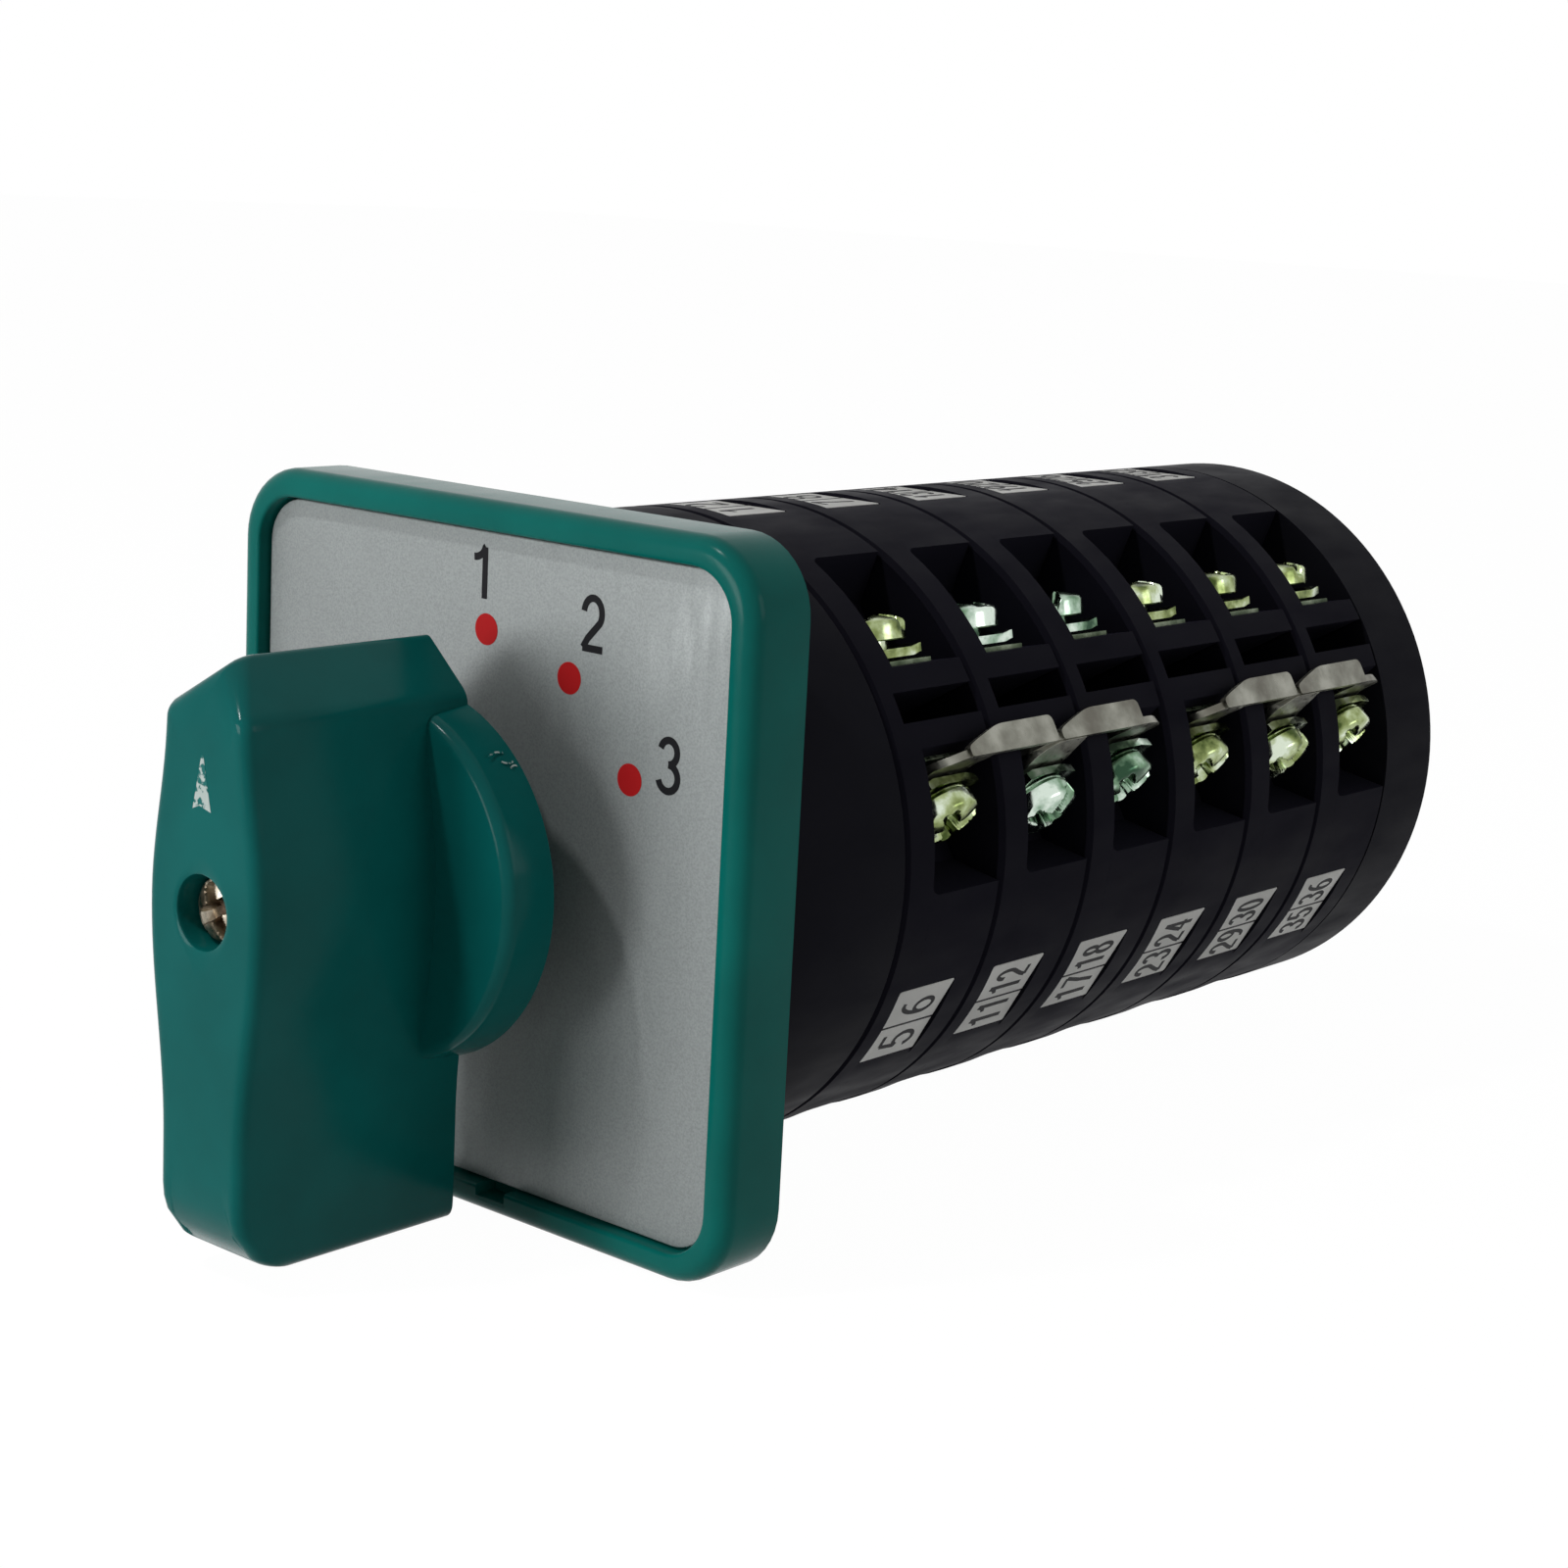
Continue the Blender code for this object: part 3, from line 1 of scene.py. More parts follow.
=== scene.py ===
# Rotary changeover switch: fine surfaces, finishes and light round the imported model.
# Shapes are worked out in millimetres, and every mesh is written in metres.
import math

import bmesh
import bpy
import numpy as np
from mathutils import Matrix, Vector


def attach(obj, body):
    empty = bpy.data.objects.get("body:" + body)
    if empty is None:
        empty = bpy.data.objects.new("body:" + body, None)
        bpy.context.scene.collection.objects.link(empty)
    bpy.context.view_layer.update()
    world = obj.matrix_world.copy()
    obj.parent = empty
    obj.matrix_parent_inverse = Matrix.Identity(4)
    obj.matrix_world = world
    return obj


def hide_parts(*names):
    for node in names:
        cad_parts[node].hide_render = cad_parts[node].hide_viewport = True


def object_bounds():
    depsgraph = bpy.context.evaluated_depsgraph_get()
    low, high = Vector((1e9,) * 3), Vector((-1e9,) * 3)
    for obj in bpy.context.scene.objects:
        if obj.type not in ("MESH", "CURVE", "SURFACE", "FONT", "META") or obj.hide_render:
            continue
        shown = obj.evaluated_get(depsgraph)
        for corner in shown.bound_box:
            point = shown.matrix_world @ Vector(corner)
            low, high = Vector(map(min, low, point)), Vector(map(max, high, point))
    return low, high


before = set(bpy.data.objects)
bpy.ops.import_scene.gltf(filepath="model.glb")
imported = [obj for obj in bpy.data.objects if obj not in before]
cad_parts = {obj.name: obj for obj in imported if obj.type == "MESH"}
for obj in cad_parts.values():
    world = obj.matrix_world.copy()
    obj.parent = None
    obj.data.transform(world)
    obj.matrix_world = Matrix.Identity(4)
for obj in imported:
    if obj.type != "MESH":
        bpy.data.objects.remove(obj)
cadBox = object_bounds()
print("frame loaded with", len(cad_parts), "nodes")

camera = {
    "place": (185.943, -184.456, 62.081),
    "turn": (78.1236, -2.9529, 40.8575),   # degrees about X, Y and Z
    "lens": 68.334,
    "sensor": 36.0,
}

lights = {
    "target": (0.0, 30.0, 0.0),
    "key": {"place": (-180, -480, 40), "size": 230, "watts": 1.6},
    "rim": {"place": (-120, -290, 470), "size": 36, "watts": 0.8},
    "fill": {"place": (470, 140, 160), "size": 220, "watts": 0.31},
    "surround": 0.12,       # brightness of the room round the switch
    "floorColour": (0.80, 0.80, 0.80),
    "floorGlow": 0.94,      # share of plain white that the camera sees on the floor
    "glowStrength": 1.045,  # glow and lit floor together make the surround's white
}


# Objects and shader nodes

def addObject(name, data):
    holder = bpy.data.objects.new(name, data)
    bpy.context.scene.collection.objects.link(holder)
    return holder


# plain values go on a node's own sockets, and outputs of other nodes are joined to them
def feed(tree, node, inputs):
    for socket, value in inputs.items():
        if isinstance(value, bpy.types.NodeSocket):
            tree.links.new(value, node.inputs[socket])
        else:
            node.inputs[socket].default_value = value


def addNode(tree, kind, inputs):
    node = tree.nodes.new("ShaderNode" + kind)
    feed(tree, node, inputs)
    return node


def feedShader(material, inputs):
    feed(material.node_tree, material.node_tree.nodes["Principled BSDF"], inputs)


def newFinish(name, colour, inputs):
    material = bpy.data.materials.new(name)
    material.use_nodes = True
    feedShader(material, {"Base Color": (*colour, 1.0), **inputs})
    return material


# Camera, floor and lamps

def setUpView():
    data = bpy.data.cameras.new("camera")
    data.lens = camera["lens"]
    data.sensor_width = camera["sensor"]
    data.clip_start = 0.01
    holder = addObject("camera", data)
    holder.location = [v / 1000 for v in camera["place"]]
    holder.rotation_euler = [math.radians(v) for v in camera["turn"]]
    bpy.context.scene.camera = holder
    bpy.context.scene.view_settings.view_transform = "Standard"


# 1 for the rays of the camera and of mirrors and glass, 0 for the rays that light surfaces
def seenOrMirrored(tree):
    path = addNode(tree, "LightPath", {})
    total = path.outputs["Is Camera Ray"]
    for kind in ("Is Glossy Ray", "Is Transmission Ray"):
        either = addNode(tree, "Math", {0: total, 1: path.outputs[kind]})
        either.operation = "MAXIMUM"
        total = either.outputs["Value"]
    return total


def setUpLights():
    for name in ("key", "rim", "fill"):
        lamp = lights[name]
        data = bpy.data.lights.new(name, "AREA")
        data.shape = "SQUARE"
        data.size = lamp["size"] / 1000
        data.energy = lamp["watts"]
        holder = addObject(name, data)
        toward = Vector(lights["target"]) - Vector(lamp["place"])
        holder.location = [v / 1000 for v in lamp["place"]]
        holder.rotation_euler = toward.to_track_quat("-Z", "Y").to_euler()
    world = bpy.data.worlds.new("surround")
    bpy.context.scene.world = world
    world.use_nodes = True
    tree = world.node_tree
    white = (1.0, 1.0, 1.0, 1.0)
    plain = tree.nodes["Background"]
    feed(tree, plain, {"Color": white, "Strength": lights["surround"]})
    seen = addNode(tree, "Background", {"Color": white, "Strength": 1.0})
    mix = addNode(tree, "MixShader", {"Fac": seenOrMirrored(tree), 1: plain.outputs["Background"],
                                      2: seen.outputs["Background"]})
    feed(tree, tree.nodes["World Output"], {"Surface": mix.outputs["Shader"]})


# a flat sheet under the lowest point, pale for light and whiter still for the camera
def setUpFloor():
    low = cadBox[0][2] - 0.0001
    reach = 3.0
    data = bpy.data.meshes.new("floor")
    corners = [(x * reach, y * reach, low) for x, y in ((-1, -1), (1, -1), (1, 1), (-1, 1))]
    data.from_pydata(corners, [], [(0, 1, 2, 3)])
    floor = addObject("floor", data)
    material = newFinish("paleFloor", lights["floorColour"],
                         {"Roughness": 0.9, "Specular IOR Level": 0.1})
    tree = material.node_tree
    glow = addNode(tree, "Emission", {"Strength": lights["glowStrength"]})
    share = addNode(tree, "Math", {0: seenOrMirrored(tree), 1: lights["floorGlow"]})
    share.operation = "MULTIPLY"
    mix = addNode(tree, "MixShader", {"Fac": share.outputs["Value"],
                                      1: tree.nodes["Principled BSDF"].outputs["BSDF"],
                                      2: glow.outputs["Emission"]})
    feed(tree, tree.nodes["Material Output"], {"Surface": mix.outputs["Shader"]})
    data.materials.append(material)


setUpView()
setUpLights()
setUpFloor()
print("camera, lamps and floor ready")


# Finishes

# noise on Object coordinates; features are about 1000 / scale millimetres wide
def addNoise(material, scale, detail=3.0, stretch=(1.0, 1.0, 1.0)):
    tree = material.node_tree
    place = addNode(tree, "TexCoord", {})
    mapping = addNode(tree, "Mapping", {"Vector": place.outputs["Object"], "Scale": stretch})
    noise = addNode(tree, "TexNoise", {"Vector": mapping.outputs["Vector"], "Scale": scale,
                                       "Detail": detail})
    return noise.outputs["Fac"]


# colours at their places along a value from 0 to 1
def addRamp(material, source, stops):
    ramp = addNode(material.node_tree, "ValToRGB", {"Fac": source})
    elements = ramp.color_ramp.elements
    for _ in stops[2:]:
        elements.new(0.5)
    for element, (position, colour) in zip(elements, stops):
        element.position = position
        element.color = (*colour, 1.0)
    return ramp.outputs["Color"]


# the middle of a noise's values, 0.3 to 0.7, mapped in a straight line to low..high
def addRange(material, source, low, high):
    inputs = {"Value": source, "From Min": 0.3, "From Max": 0.7, "To Min": low, "To Max": high}
    return addNode(material.node_tree, "MapRange", inputs).outputs["Result"]


# colours along one noise, roughness along another, and Bump nodes one after another, each as
# (height, strength, millimetres)
def patterned(material, cloud, stops, wipe, low, high, bumps):
    feedShader(material, {"Base Color": addRamp(material, cloud, stops),
                          "Roughness": addRange(material, wipe, low, high)})
    normal = {}
    for height, strength, depth in bumps:
        bump = addNode(material.node_tree, "Bump", {"Height": height, "Strength": strength,
                                                    "Distance": depth / 1000, **normal})
        normal = {"Normal": bump.outputs["Normal"]}
    feedShader(material, normal)
    return material


# ramp stops from a darker to a lighter shade of one colour
def shades(colour, dark, light=1.12):
    return [(position, tuple(min(c * factor, 1.0) for c in colour))
            for position, factor in ((0.3, dark), (0.5, 1.0), (0.7, light))]


def mouldedPlastic(name, colour, roughness, grain, gloss=0.06):
    material = newFinish(name, colour, {"Roughness": roughness, "Specular IOR Level": gloss})
    cloud = addNoise(material, 90.0, 4.0)
    wipe = addNoise(material, 260.0, 6.0, (1.0, 0.35, 1.0))
    fine = addNoise(material, grain)
    wave = addNoise(material, 170.0, 2.0)
    return patterned(material, cloud, shades(colour, 0.90), wipe, roughness * 0.85,
                     roughness * 1.3, [(fine, 0.12, 0.03), (wave, 0.10, 0.08)])


def platedMetal(name, stops, roughness, scale=420.0, dented=0.10):
    middle = stops[len(stops) // 2][1]
    material = newFinish(name, middle, {"Metallic": 1.0, "Roughness": roughness})
    # this noise picks colours from the ramp; where a ramp's ends are painted highlight and shade,
    # they fall in its random patches
    bloomAndSheen = addNoise(material, scale, 4.0)
    rub = addNoise(material, 1800.0, 5.0)
    dents = addNoise(material, 900.0, 5.0)
    return patterned(material, bloomAndSheen, stops, rub, roughness * 0.7, roughness * 1.5,
                     [(dents, dented, 0.06), (rub, dented, 0.03)])


# the print wears through to the colour under it where the noise is low
def printedInk(name, colour, worn, under):
    material = newFinish(name, colour, {"Roughness": 0.5, "Specular IOR Level": 0.06})
    spots = addNoise(material, 1500.0, 6.0)
    stops = [(worn - 0.03, under), (worn + 0.03, colour)]
    feedShader(material, {"Base Color": addRamp(material, spots, stops)})
    return material


def brushedDial(name, colour):
    material = newFinish(name, colour, {"Metallic": 0.15, "Roughness": 0.45,
                                        "Specular IOR Level": 0.15})
    grain = addNoise(material, 5200.0, 4.0)
    streak = addNoise(material, 900.0, 3.0, (1.0, 1.0, 0.2))
    return patterned(material, grain, shades(colour, 0.86), streak, 0.34, 0.48,
                     [(grain, 0.18, 0.02)])


# colour, roughness, grain and gloss
moulded = {
    "tealBezel": ((0.003, 0.142, 0.122), 0.17, 2600.0),
    "tealKnob": ((0.003, 0.120, 0.112), 0.15, 2600.0),
    "blackMoulding": ((0.0092, 0.0088, 0.0140), 0.46, 2200.0, 0.012),
    "blackEnds": ((0.0095, 0.0095, 0.0135), 0.44, 2200.0, 0.016),
    "whiteLabel": ((0.86, 0.86, 0.83), 0.5, 1500.0),
    "whiteNylon": ((0.62, 0.60, 0.52), 0.5, 1500.0),
}
# ramp stops, roughness, scale of the bloom and painted sheen, and strength of the dents
metals = {
    "tinnedLink": ([(0.34, (0.12, 0.115, 0.095)), (0.5, (0.19, 0.19, 0.16)),
                    (0.66, (0.30, 0.30, 0.26))], 0.34, 260.0, 0.035),
    "contactStrip": ([(0.3, (0.05, 0.07, 0.04)), (0.5, (0.11, 0.14, 0.09)),
                      (0.7, (0.24, 0.28, 0.20))], 0.30),
    "zincSteel": ([(0.3, (0.36, 0.36, 0.37)), (0.5, (0.5, 0.5, 0.5)),
                   (0.7, (0.66, 0.66, 0.65))], 0.30),
    # knob screw: the brown tone is the screw's own, while the darkest and palest ends of its ramp
    # are painted shade and painted glint in random patches
    "knobScrew": ([(0.3, (0.07, 0.045, 0.03)), (0.5, (0.26, 0.21, 0.15)),
                   (0.7, (0.62, 0.56, 0.46))], 0.32),
    "contactCopper": ([(0.3, (0.55, 0.30, 0.18)), (0.5, (0.72, 0.43, 0.26)),
                       (0.7, (0.85, 0.60, 0.42))], 0.3),
    # on the zinc heads the near-black and near-white ends of the ramp are painted shade and
    # painted highlight, laid in random patches; the yellow or green tone between them is the
    # plating's own colour
    "zincYellow": ([(0.38, (0.05, 0.075, 0.02)), (0.47, (0.22, 0.27, 0.10)),
                    (0.54, (0.38, 0.45, 0.24)), (0.63, (0.66, 0.74, 0.60))], 0.17, 300.0, 0.04),
    "zincGreen": ([(0.38, (0.03, 0.07, 0.04)), (0.47, (0.16, 0.27, 0.17)),
                   (0.54, (0.34, 0.46, 0.36)), (0.63, (0.64, 0.74, 0.65))], 0.17, 300.0, 0.04),
}
# colour, where the wear begins, and the colour under the print
inks = {
    "blackInk": ((0.012, 0.012, 0.014), 0.28, (0.10, 0.10, 0.10)),
    "redInk": ((0.46, 0.012, 0.014), 0.25, (0.36, 0.03, 0.03)),
    "wornArrow": ((0.52, 0.60, 0.57), 0.49, (0.02, 0.16, 0.15)),
}
finishes = {"dialMetal": brushedDial("dialMetal", (0.30, 0.322, 0.320))}
for make, kinds in ((mouldedPlastic, moulded), (platedMetal, metals), (printedInk, inks)):
    finishes.update({name: make(name, *kind) for name, kind in kinds.items()})
print("finishes ready:", len(finishes))


# Mesh building

# a patch is a grid of points (rows, columns, 3) in millimetres, whose columns are joined end
# to end; doubled points at poles and seams are merged
def writePiece(name, patches, finish, sharp=35.0, **rest):
    corners = []
    quads = []
    start = 0
    for points in patches:
        rows, columns = points.shape[:2]
        index = np.arange(rows * columns).reshape(rows, columns) + start
        index = np.hstack([index, index[:, :1]])
        quads.append(np.stack([index[:-1, :-1], index[1:, :-1], index[1:, 1:], index[:-1, 1:]],
                              axis=-1).reshape(-1, 4))
        corners.append(points.reshape(-1, 3))
        start += rows * columns
    corners = np.concatenate(corners) / 1000
    quads = np.concatenate(quads)
    data = bpy.data.meshes.new(name)
    data.vertices.add(len(corners))
    data.vertices.foreach_set("co", corners.astype(np.float32).ravel())
    data.loops.add(quads.size)
    data.loops.foreach_set("vertex_index", quads.astype(np.int32).ravel())
    data.polygons.add(len(quads))
    data.polygons.foreach_set("loop_start", np.arange(0, quads.size, 4, dtype=np.int32))
    data.update(calc_edges=True)
    data.validate()
    finishPiece(name, data, finish, sharp, **rest)


# doubles merged, normals out, corners kept sharp, a fine rounding where asked for
def finishPiece(name, data, finish, sharp, bevel=0.0, body="housing", stands=None, slot=None):
    work = bmesh.new()
    work.from_mesh(data)
    bmesh.ops.remove_doubles(work, verts=work.verts, dist=0.0000015)
    bmesh.ops.dissolve_degenerate(work, edges=work.edges, dist=0.000001)
    bmesh.ops.recalc_face_normals(work, faces=work.faces)
    work.to_mesh(data)
    work.free()
    data.shade_smooth()
    data.set_sharp_from_angle(angle=math.radians(sharp))
    data.materials.append(finishes[finish])
    piece = addObject(name, data)
    if bevel > 0.0:
        rounding = piece.modifiers.new("edges", "BEVEL")
        rounding.width = bevel / 1000
        rounding.segments = 2
        rounding.limit_method = "ANGLE"
        rounding.angle_limit = math.radians(sharp)
        rounding.harden_normals = True
    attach(piece, body)
    if stands:
        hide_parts(stands)


# points of the unit circle at angles in degrees
def unit(degrees):
    angle = np.radians(degrees)
    return np.stack([np.cos(angle), np.sin(angle)], axis=-1)


# points (n, 2) turned round the origin
def rotated(flat, degrees):
    c, s = unit(degrees)
    return flat @ np.array([(c, s), (-s, c)])


# a grid of (p, q, h) set on a place with the directions of p, q and h given
def placed(grid, origin, *axes):
    return origin + grid @ np.array(axes, float)


# quarter of a circle from (0, 1) to (1, 0) in steps, both ends included
def quarter(steps):
    angle = np.linspace(0.0, math.pi / 2, steps + 1)
    return np.stack([np.sin(angle), np.cos(angle)], axis=1)


# the quarter round from a front face over to a side, as (radius, y)
def roundOver(radius, front, edge, steps):
    return [(radius - edge * (1 - out), front + edge * (1 - back)) for out, back in quarter(steps)]


# how far a quarter round has fallen away at a place past its beginning
def fallAway(past, radius):
    past = np.clip(past, 0.0, radius)
    return radius - np.sqrt(radius ** 2 - past ** 2)


# outlines (n, 2) in XZ, each with its y: one for all its points or one for each
def ringsAt(rows):
    return np.stack([np.insert(np.asarray(flat, float), 1, y, axis=1) for flat, y in rows])


# a profile of (radius, y) turned about a line parallel to Y through (x, z)
def turned(profile, count, centre=(0.0, 0.0)):
    circle = unit(np.arange(count) * 360.0 / count)
    return ringsAt([(radius * circle + centre, y) for radius, y in profile])


def rod(radius, start, end, count, centre=(0.0, 0.0)):
    return turned([(0.0, start), (radius, start), (radius, end), (0.0, end)], count, centre)


# a grid whose last row of points is joined to its first
def closed(grid):
    return np.concatenate([grid, grid[:1]])


# a grid whose two ends are closed by a pole in the middle of the row
def withPoles(grid):
    first, last = (np.broadcast_to(grid[end].mean(axis=0), grid[:1].shape) for end in (0, -1))
    return np.concatenate([first, grid, last])


# a solid of one closed outline between two stations
def prism(outline, front, rear):
    return withPoles(ringsAt([(outline, front), (outline, rear)]))


# a polygon whose corners are replaced by parabolas between the two cut points
def roundedPolygon(corners, radii, steps=6):
    corners = np.asarray(corners, float)[:, None]
    radii = np.reshape(radii, (-1, 1, 1))
    sides = (np.roll(corners, way, axis=0) - corners for way in (1, -1))
    start, end = (corners + radii * side / np.linalg.norm(side, axis=2, keepdims=True)
                  for side in sides)
    share = np.linspace(0.0, 1.0, steps + 1)[:, None]
    curves = start * (1 - share) ** 2 + corners * 2 * share * (1 - share) + end * share ** 2
    return curves.reshape(-1, 2)


# unit directions square to a line of points (n, 2), on its left
def sideways(points):
    along = np.gradient(points, axis=0)
    along /= np.maximum(np.linalg.norm(along, axis=1, keepdims=True), 1e-9)
    return np.stack([-along[:, 1], along[:, 0]], axis=1)


# outward normals of a closed counter-clockwise outline
def outlineNormals(outline):
    return -sideways(np.concatenate([outline[-1:], outline, outline[:1]]))[1:-1]


# Bezel: rings of rounded squares, or circles, carried round the section of the frame

bezel = {
    "half": 32.0, "corner": 6.8, "front": -7.2, "edge": 1.6, "rearEdge": 0.25,
    "dialHalf": 29.4, "dialCorner": 4.5, "innerEdge": 0.35, "dialGap": 0.25, "dialEdge": 0.15,
    "dialFront": -5.9, "dialRear": -5.1,
    "floorFront": -4.8, "floorRear": -3.0, "rearHalf": 30.4, "rearCorner": 5.2,
    "hole": 6.2, "notchMiddle": 4.0, "notchWidth": 3.6, "notchDepth": 1.0,
    "bossSpacing": 18.0, "bossRadius": 4.8, "bossHole": 2.3, "bossEdge": 0.2,
}


# a rounded square of one half side and corner radius; a corner radius equal to the half side
# makes a circle. The straight sides carry the same number of points on every ring
def roundedSquare(half, corner, notched=False):
    b = bezel
    flat = half - corner
    stops = np.linspace(-1.0, 1.0, 15)[1:-1]
    notch = np.array([-0.5, -0.49, -0.2, 0.0, 0.2, 0.49, 0.5]) * b["notchWidth"]
    notch = (notch + b["notchMiddle"]) / (b["dialHalf"] - b["dialCorner"])
    lower = np.sort(np.concatenate([stops[(stops < notch[0]) | (stops > notch[-1])], notch]))
    bend = flat + corner * unit(np.linspace(0.0, 90.0, 11))
    quarters = []
    for degrees in (0, 90, 180, 270):
        along = flat * (lower if degrees == 180 else stops)
        level = np.full(len(along), half)
        if notched and degrees == 180:
            level[np.abs(along - b["notchMiddle"]) < 0.495 * b["notchWidth"]] += b["notchDepth"]
        side = np.stack([-along, level], axis=1)
        quarters.append(rotated(np.concatenate([bend, side]), degrees))
    return np.concatenate(quarters)


# closed rings, each from a half side, a corner radius, y and whether the notch is in it
def squareRings(specs):
    return closed(ringsAt([(roundedSquare(half, corner, *notched), y)
                           for half, corner, y, *notched in specs]))


def makeBezel():
    b = bezel
    specs = [(b["dialHalf"], b["dialCorner"], b["floorFront"], True)]
    for out, back in quarter(4):
        reach = b["innerEdge"] * (1 - back)
        specs.append((b["dialHalf"] + reach, b["dialCorner"] + reach,
                      b["front"] + b["innerEdge"] * (1 - out), True))
    for half, y in roundOver(b["half"], b["front"], b["edge"], 7):
        specs.append((half, half - b["half"] + b["corner"], y))
    edge = b["rearEdge"]
    rear = (b["rearHalf"], b["rearCorner"])
    hole = (b["hole"], b["hole"])
    specs += [(b["half"], b["corner"], -edge), (b["half"] - edge, b["corner"] - edge, 0.0),
              (*rear, 0.0), (*rear, b["floorRear"]), (*hole, b["floorRear"]),
              (*hole, b["floorFront"])]
    patches = [squareRings(specs)]
    edge = b["bossEdge"]
    boss = [(b["bossHole"], b["floorRear"] - edge), (b["bossRadius"], b["floorRear"] - edge),
            (b["bossRadius"], -edge), (b["bossRadius"] - edge, 0.0), (b["bossHole"], 0.0)]
    for x in (-b["bossSpacing"], b["bossSpacing"]):
        for z in (-b["bossSpacing"], b["bossSpacing"]):
            patches.append(closed(turned(boss, 40, (x, z))))
    writePiece("bezel", patches, "tealBezel", 40.0, stands="bezel_frame", slot="teal_plastic")


def makeDial():
    b = bezel
    side = b["dialHalf"] - b["dialGap"]
    rim = roundOver(side, b["dialFront"], b["dialEdge"], 3) + [(side, b["dialRear"])]
    specs = [(half, half - b["dialHalf"] + b["dialCorner"], y) for half, y in rim]
    specs = [(b["hole"], b["hole"], b["dialFront"]), *specs, (b["hole"], b["hole"], b["dialRear"])]
    writePiece("dialPlate", [squareRings(specs)], "dialMetal", 50.0, stands="dial_plate",
               slot="dial_metal")


makeBezel()
makeDial()
print("bezel and dial plate made")


# Figures: each is one or more strokes, a flat ribbon carried along arcs and straight runs

# an arc of an upright ellipse, degrees counter-clockwise from the right
def arc(middle, reach, start, end, count):
    return middle + reach * unit(np.linspace(start, end, count))


strokes = {
    "0": [arc((0.27, 0.5), (0.21, 0.45), 90, 450, 36)],
    "1": [[*arc((0.06, 1.0), (0.26, 0.23), 270, 350, 8), (0.33, 0.97)],
          [(0.33, 0.97), (0.33, 0.5), (0.33, 0.03)]],
    "2": [[*arc((0.27, 0.68), (0.205, 0.27), 175, -35, 24), (0.16, 0.22), (0.06, 0.05)],
          [(0.05, 0.05), (0.3, 0.05), (0.51, 0.05)]],
    "3": [arc((0.26, 0.735), (0.185, 0.215), 165, -90, 22),
          arc((0.26, 0.285), (0.215, 0.235), 90, -165, 22)],
    "4": [[(0.39, 0.0), (0.39, 0.5), (0.39, 0.95)], [(0.39, 0.95), (0.2, 0.6), (0.04, 0.28)],
          [(0.04, 0.28), (0.3, 0.28), (0.54, 0.28)]],
    "5": [[(0.48, 0.95), (0.3, 0.95), (0.14, 0.95)], [(0.14, 0.95), (0.11, 0.7), (0.08, 0.5)],
          arc((0.26, 0.32), (0.215, 0.27), 145, -160, 24)],
    "6": [arc((0.28, 0.31), (0.205, 0.26), 0, 360, 32),
          arc((0.40, 0.36), (0.325, 0.59), 80, 185, 18)],
    "7": [[(0.04, 0.95), (0.3, 0.95), (0.51, 0.95)], [(0.51, 0.95), (0.30, 0.5), (0.19, 0.0)]],
    "8": [arc((0.27, 0.73), (0.175, 0.215), 0, 360, 28),
          arc((0.27, 0.27), (0.21, 0.25), 0, 360, 32)],
}
strokes["9"] = [np.array([0.54, 1.0]) - stroke for stroke in strokes["6"]]   # a 6 turned round


# stroke points (n, 2) become a thin ribbon of one width: four rows round its section, and
# poles at its ends; axes are the directions across, up and out of the printed face
def ribbon(stroke, width, thickness, origin, axes):
    half = width / 2 * sideways(stroke)
    rows = [np.column_stack([stroke + side * half, np.full(len(stroke), level)])
            for side, level in ((1, 0.0), (1, thickness), (-1, thickness), (-1, 0.0))]
    return withPoles(placed(np.stack(rows, axis=1), origin, *axes))


# a number centred on a place: figures side by side, each 0.54 of its height wide, times squeeze
def numberPatches(number, sizes, squeeze, place, axes, thickness=0.02):
    text = str(number)
    height = sizes["figureHeight"]
    advance = 0.66 * height * squeeze
    patches = []
    for i, figure in enumerate(text):
        shift = (i - (len(text) - 1) / 2) * advance
        for layer, stroke in enumerate(strokes[figure]):
            flat = (np.array(stroke) - (0.27, 0.5)) * (height * squeeze, height) + (shift, 0.0)
            proud = thickness * (1 + 0.25 * layer)
            patches.append(ribbon(flat, sizes["figureWidth"], proud, place, axes))
    return patches


dialPrint = {
    "dotCircle": 20.6, "dotRadius": 1.4, "angles": (90.0, 60.0, 30.0),
    "figureHeight": 4.8, "figureWidth": 0.64, "squeeze": 1.06, "thickness": 0.03,
    "figurePlaces": ((-0.7, 25.5), (12.85, 22.9), (22.25, 12.25)),
}


def makeDialPrint():
    d = dialPrint
    face = bezel["dialFront"]
    dots = [rod(d["dotRadius"], face, face - d["thickness"], 40, d["dotCircle"] * unit(angle))
            for angle in d["angles"]]
    writePiece("dialDots", dots, "redInk")
    figures = []
    for number, (x, z) in enumerate(d["figurePlaces"], 1):
        figures += numberPatches(number, d, d["squeeze"], (x, face, z),
                                 ((1, 0, 0), (0, 0, 1), (0, -1, 0)), d["thickness"])
    writePiece("dialFigures", figures, "blackInk")


makeDialPrint()
print("dial print made")


# Knob: the grip is its front outline carried from the recess over the face, round the edge
# and down the sides; the skirt and collar are turned

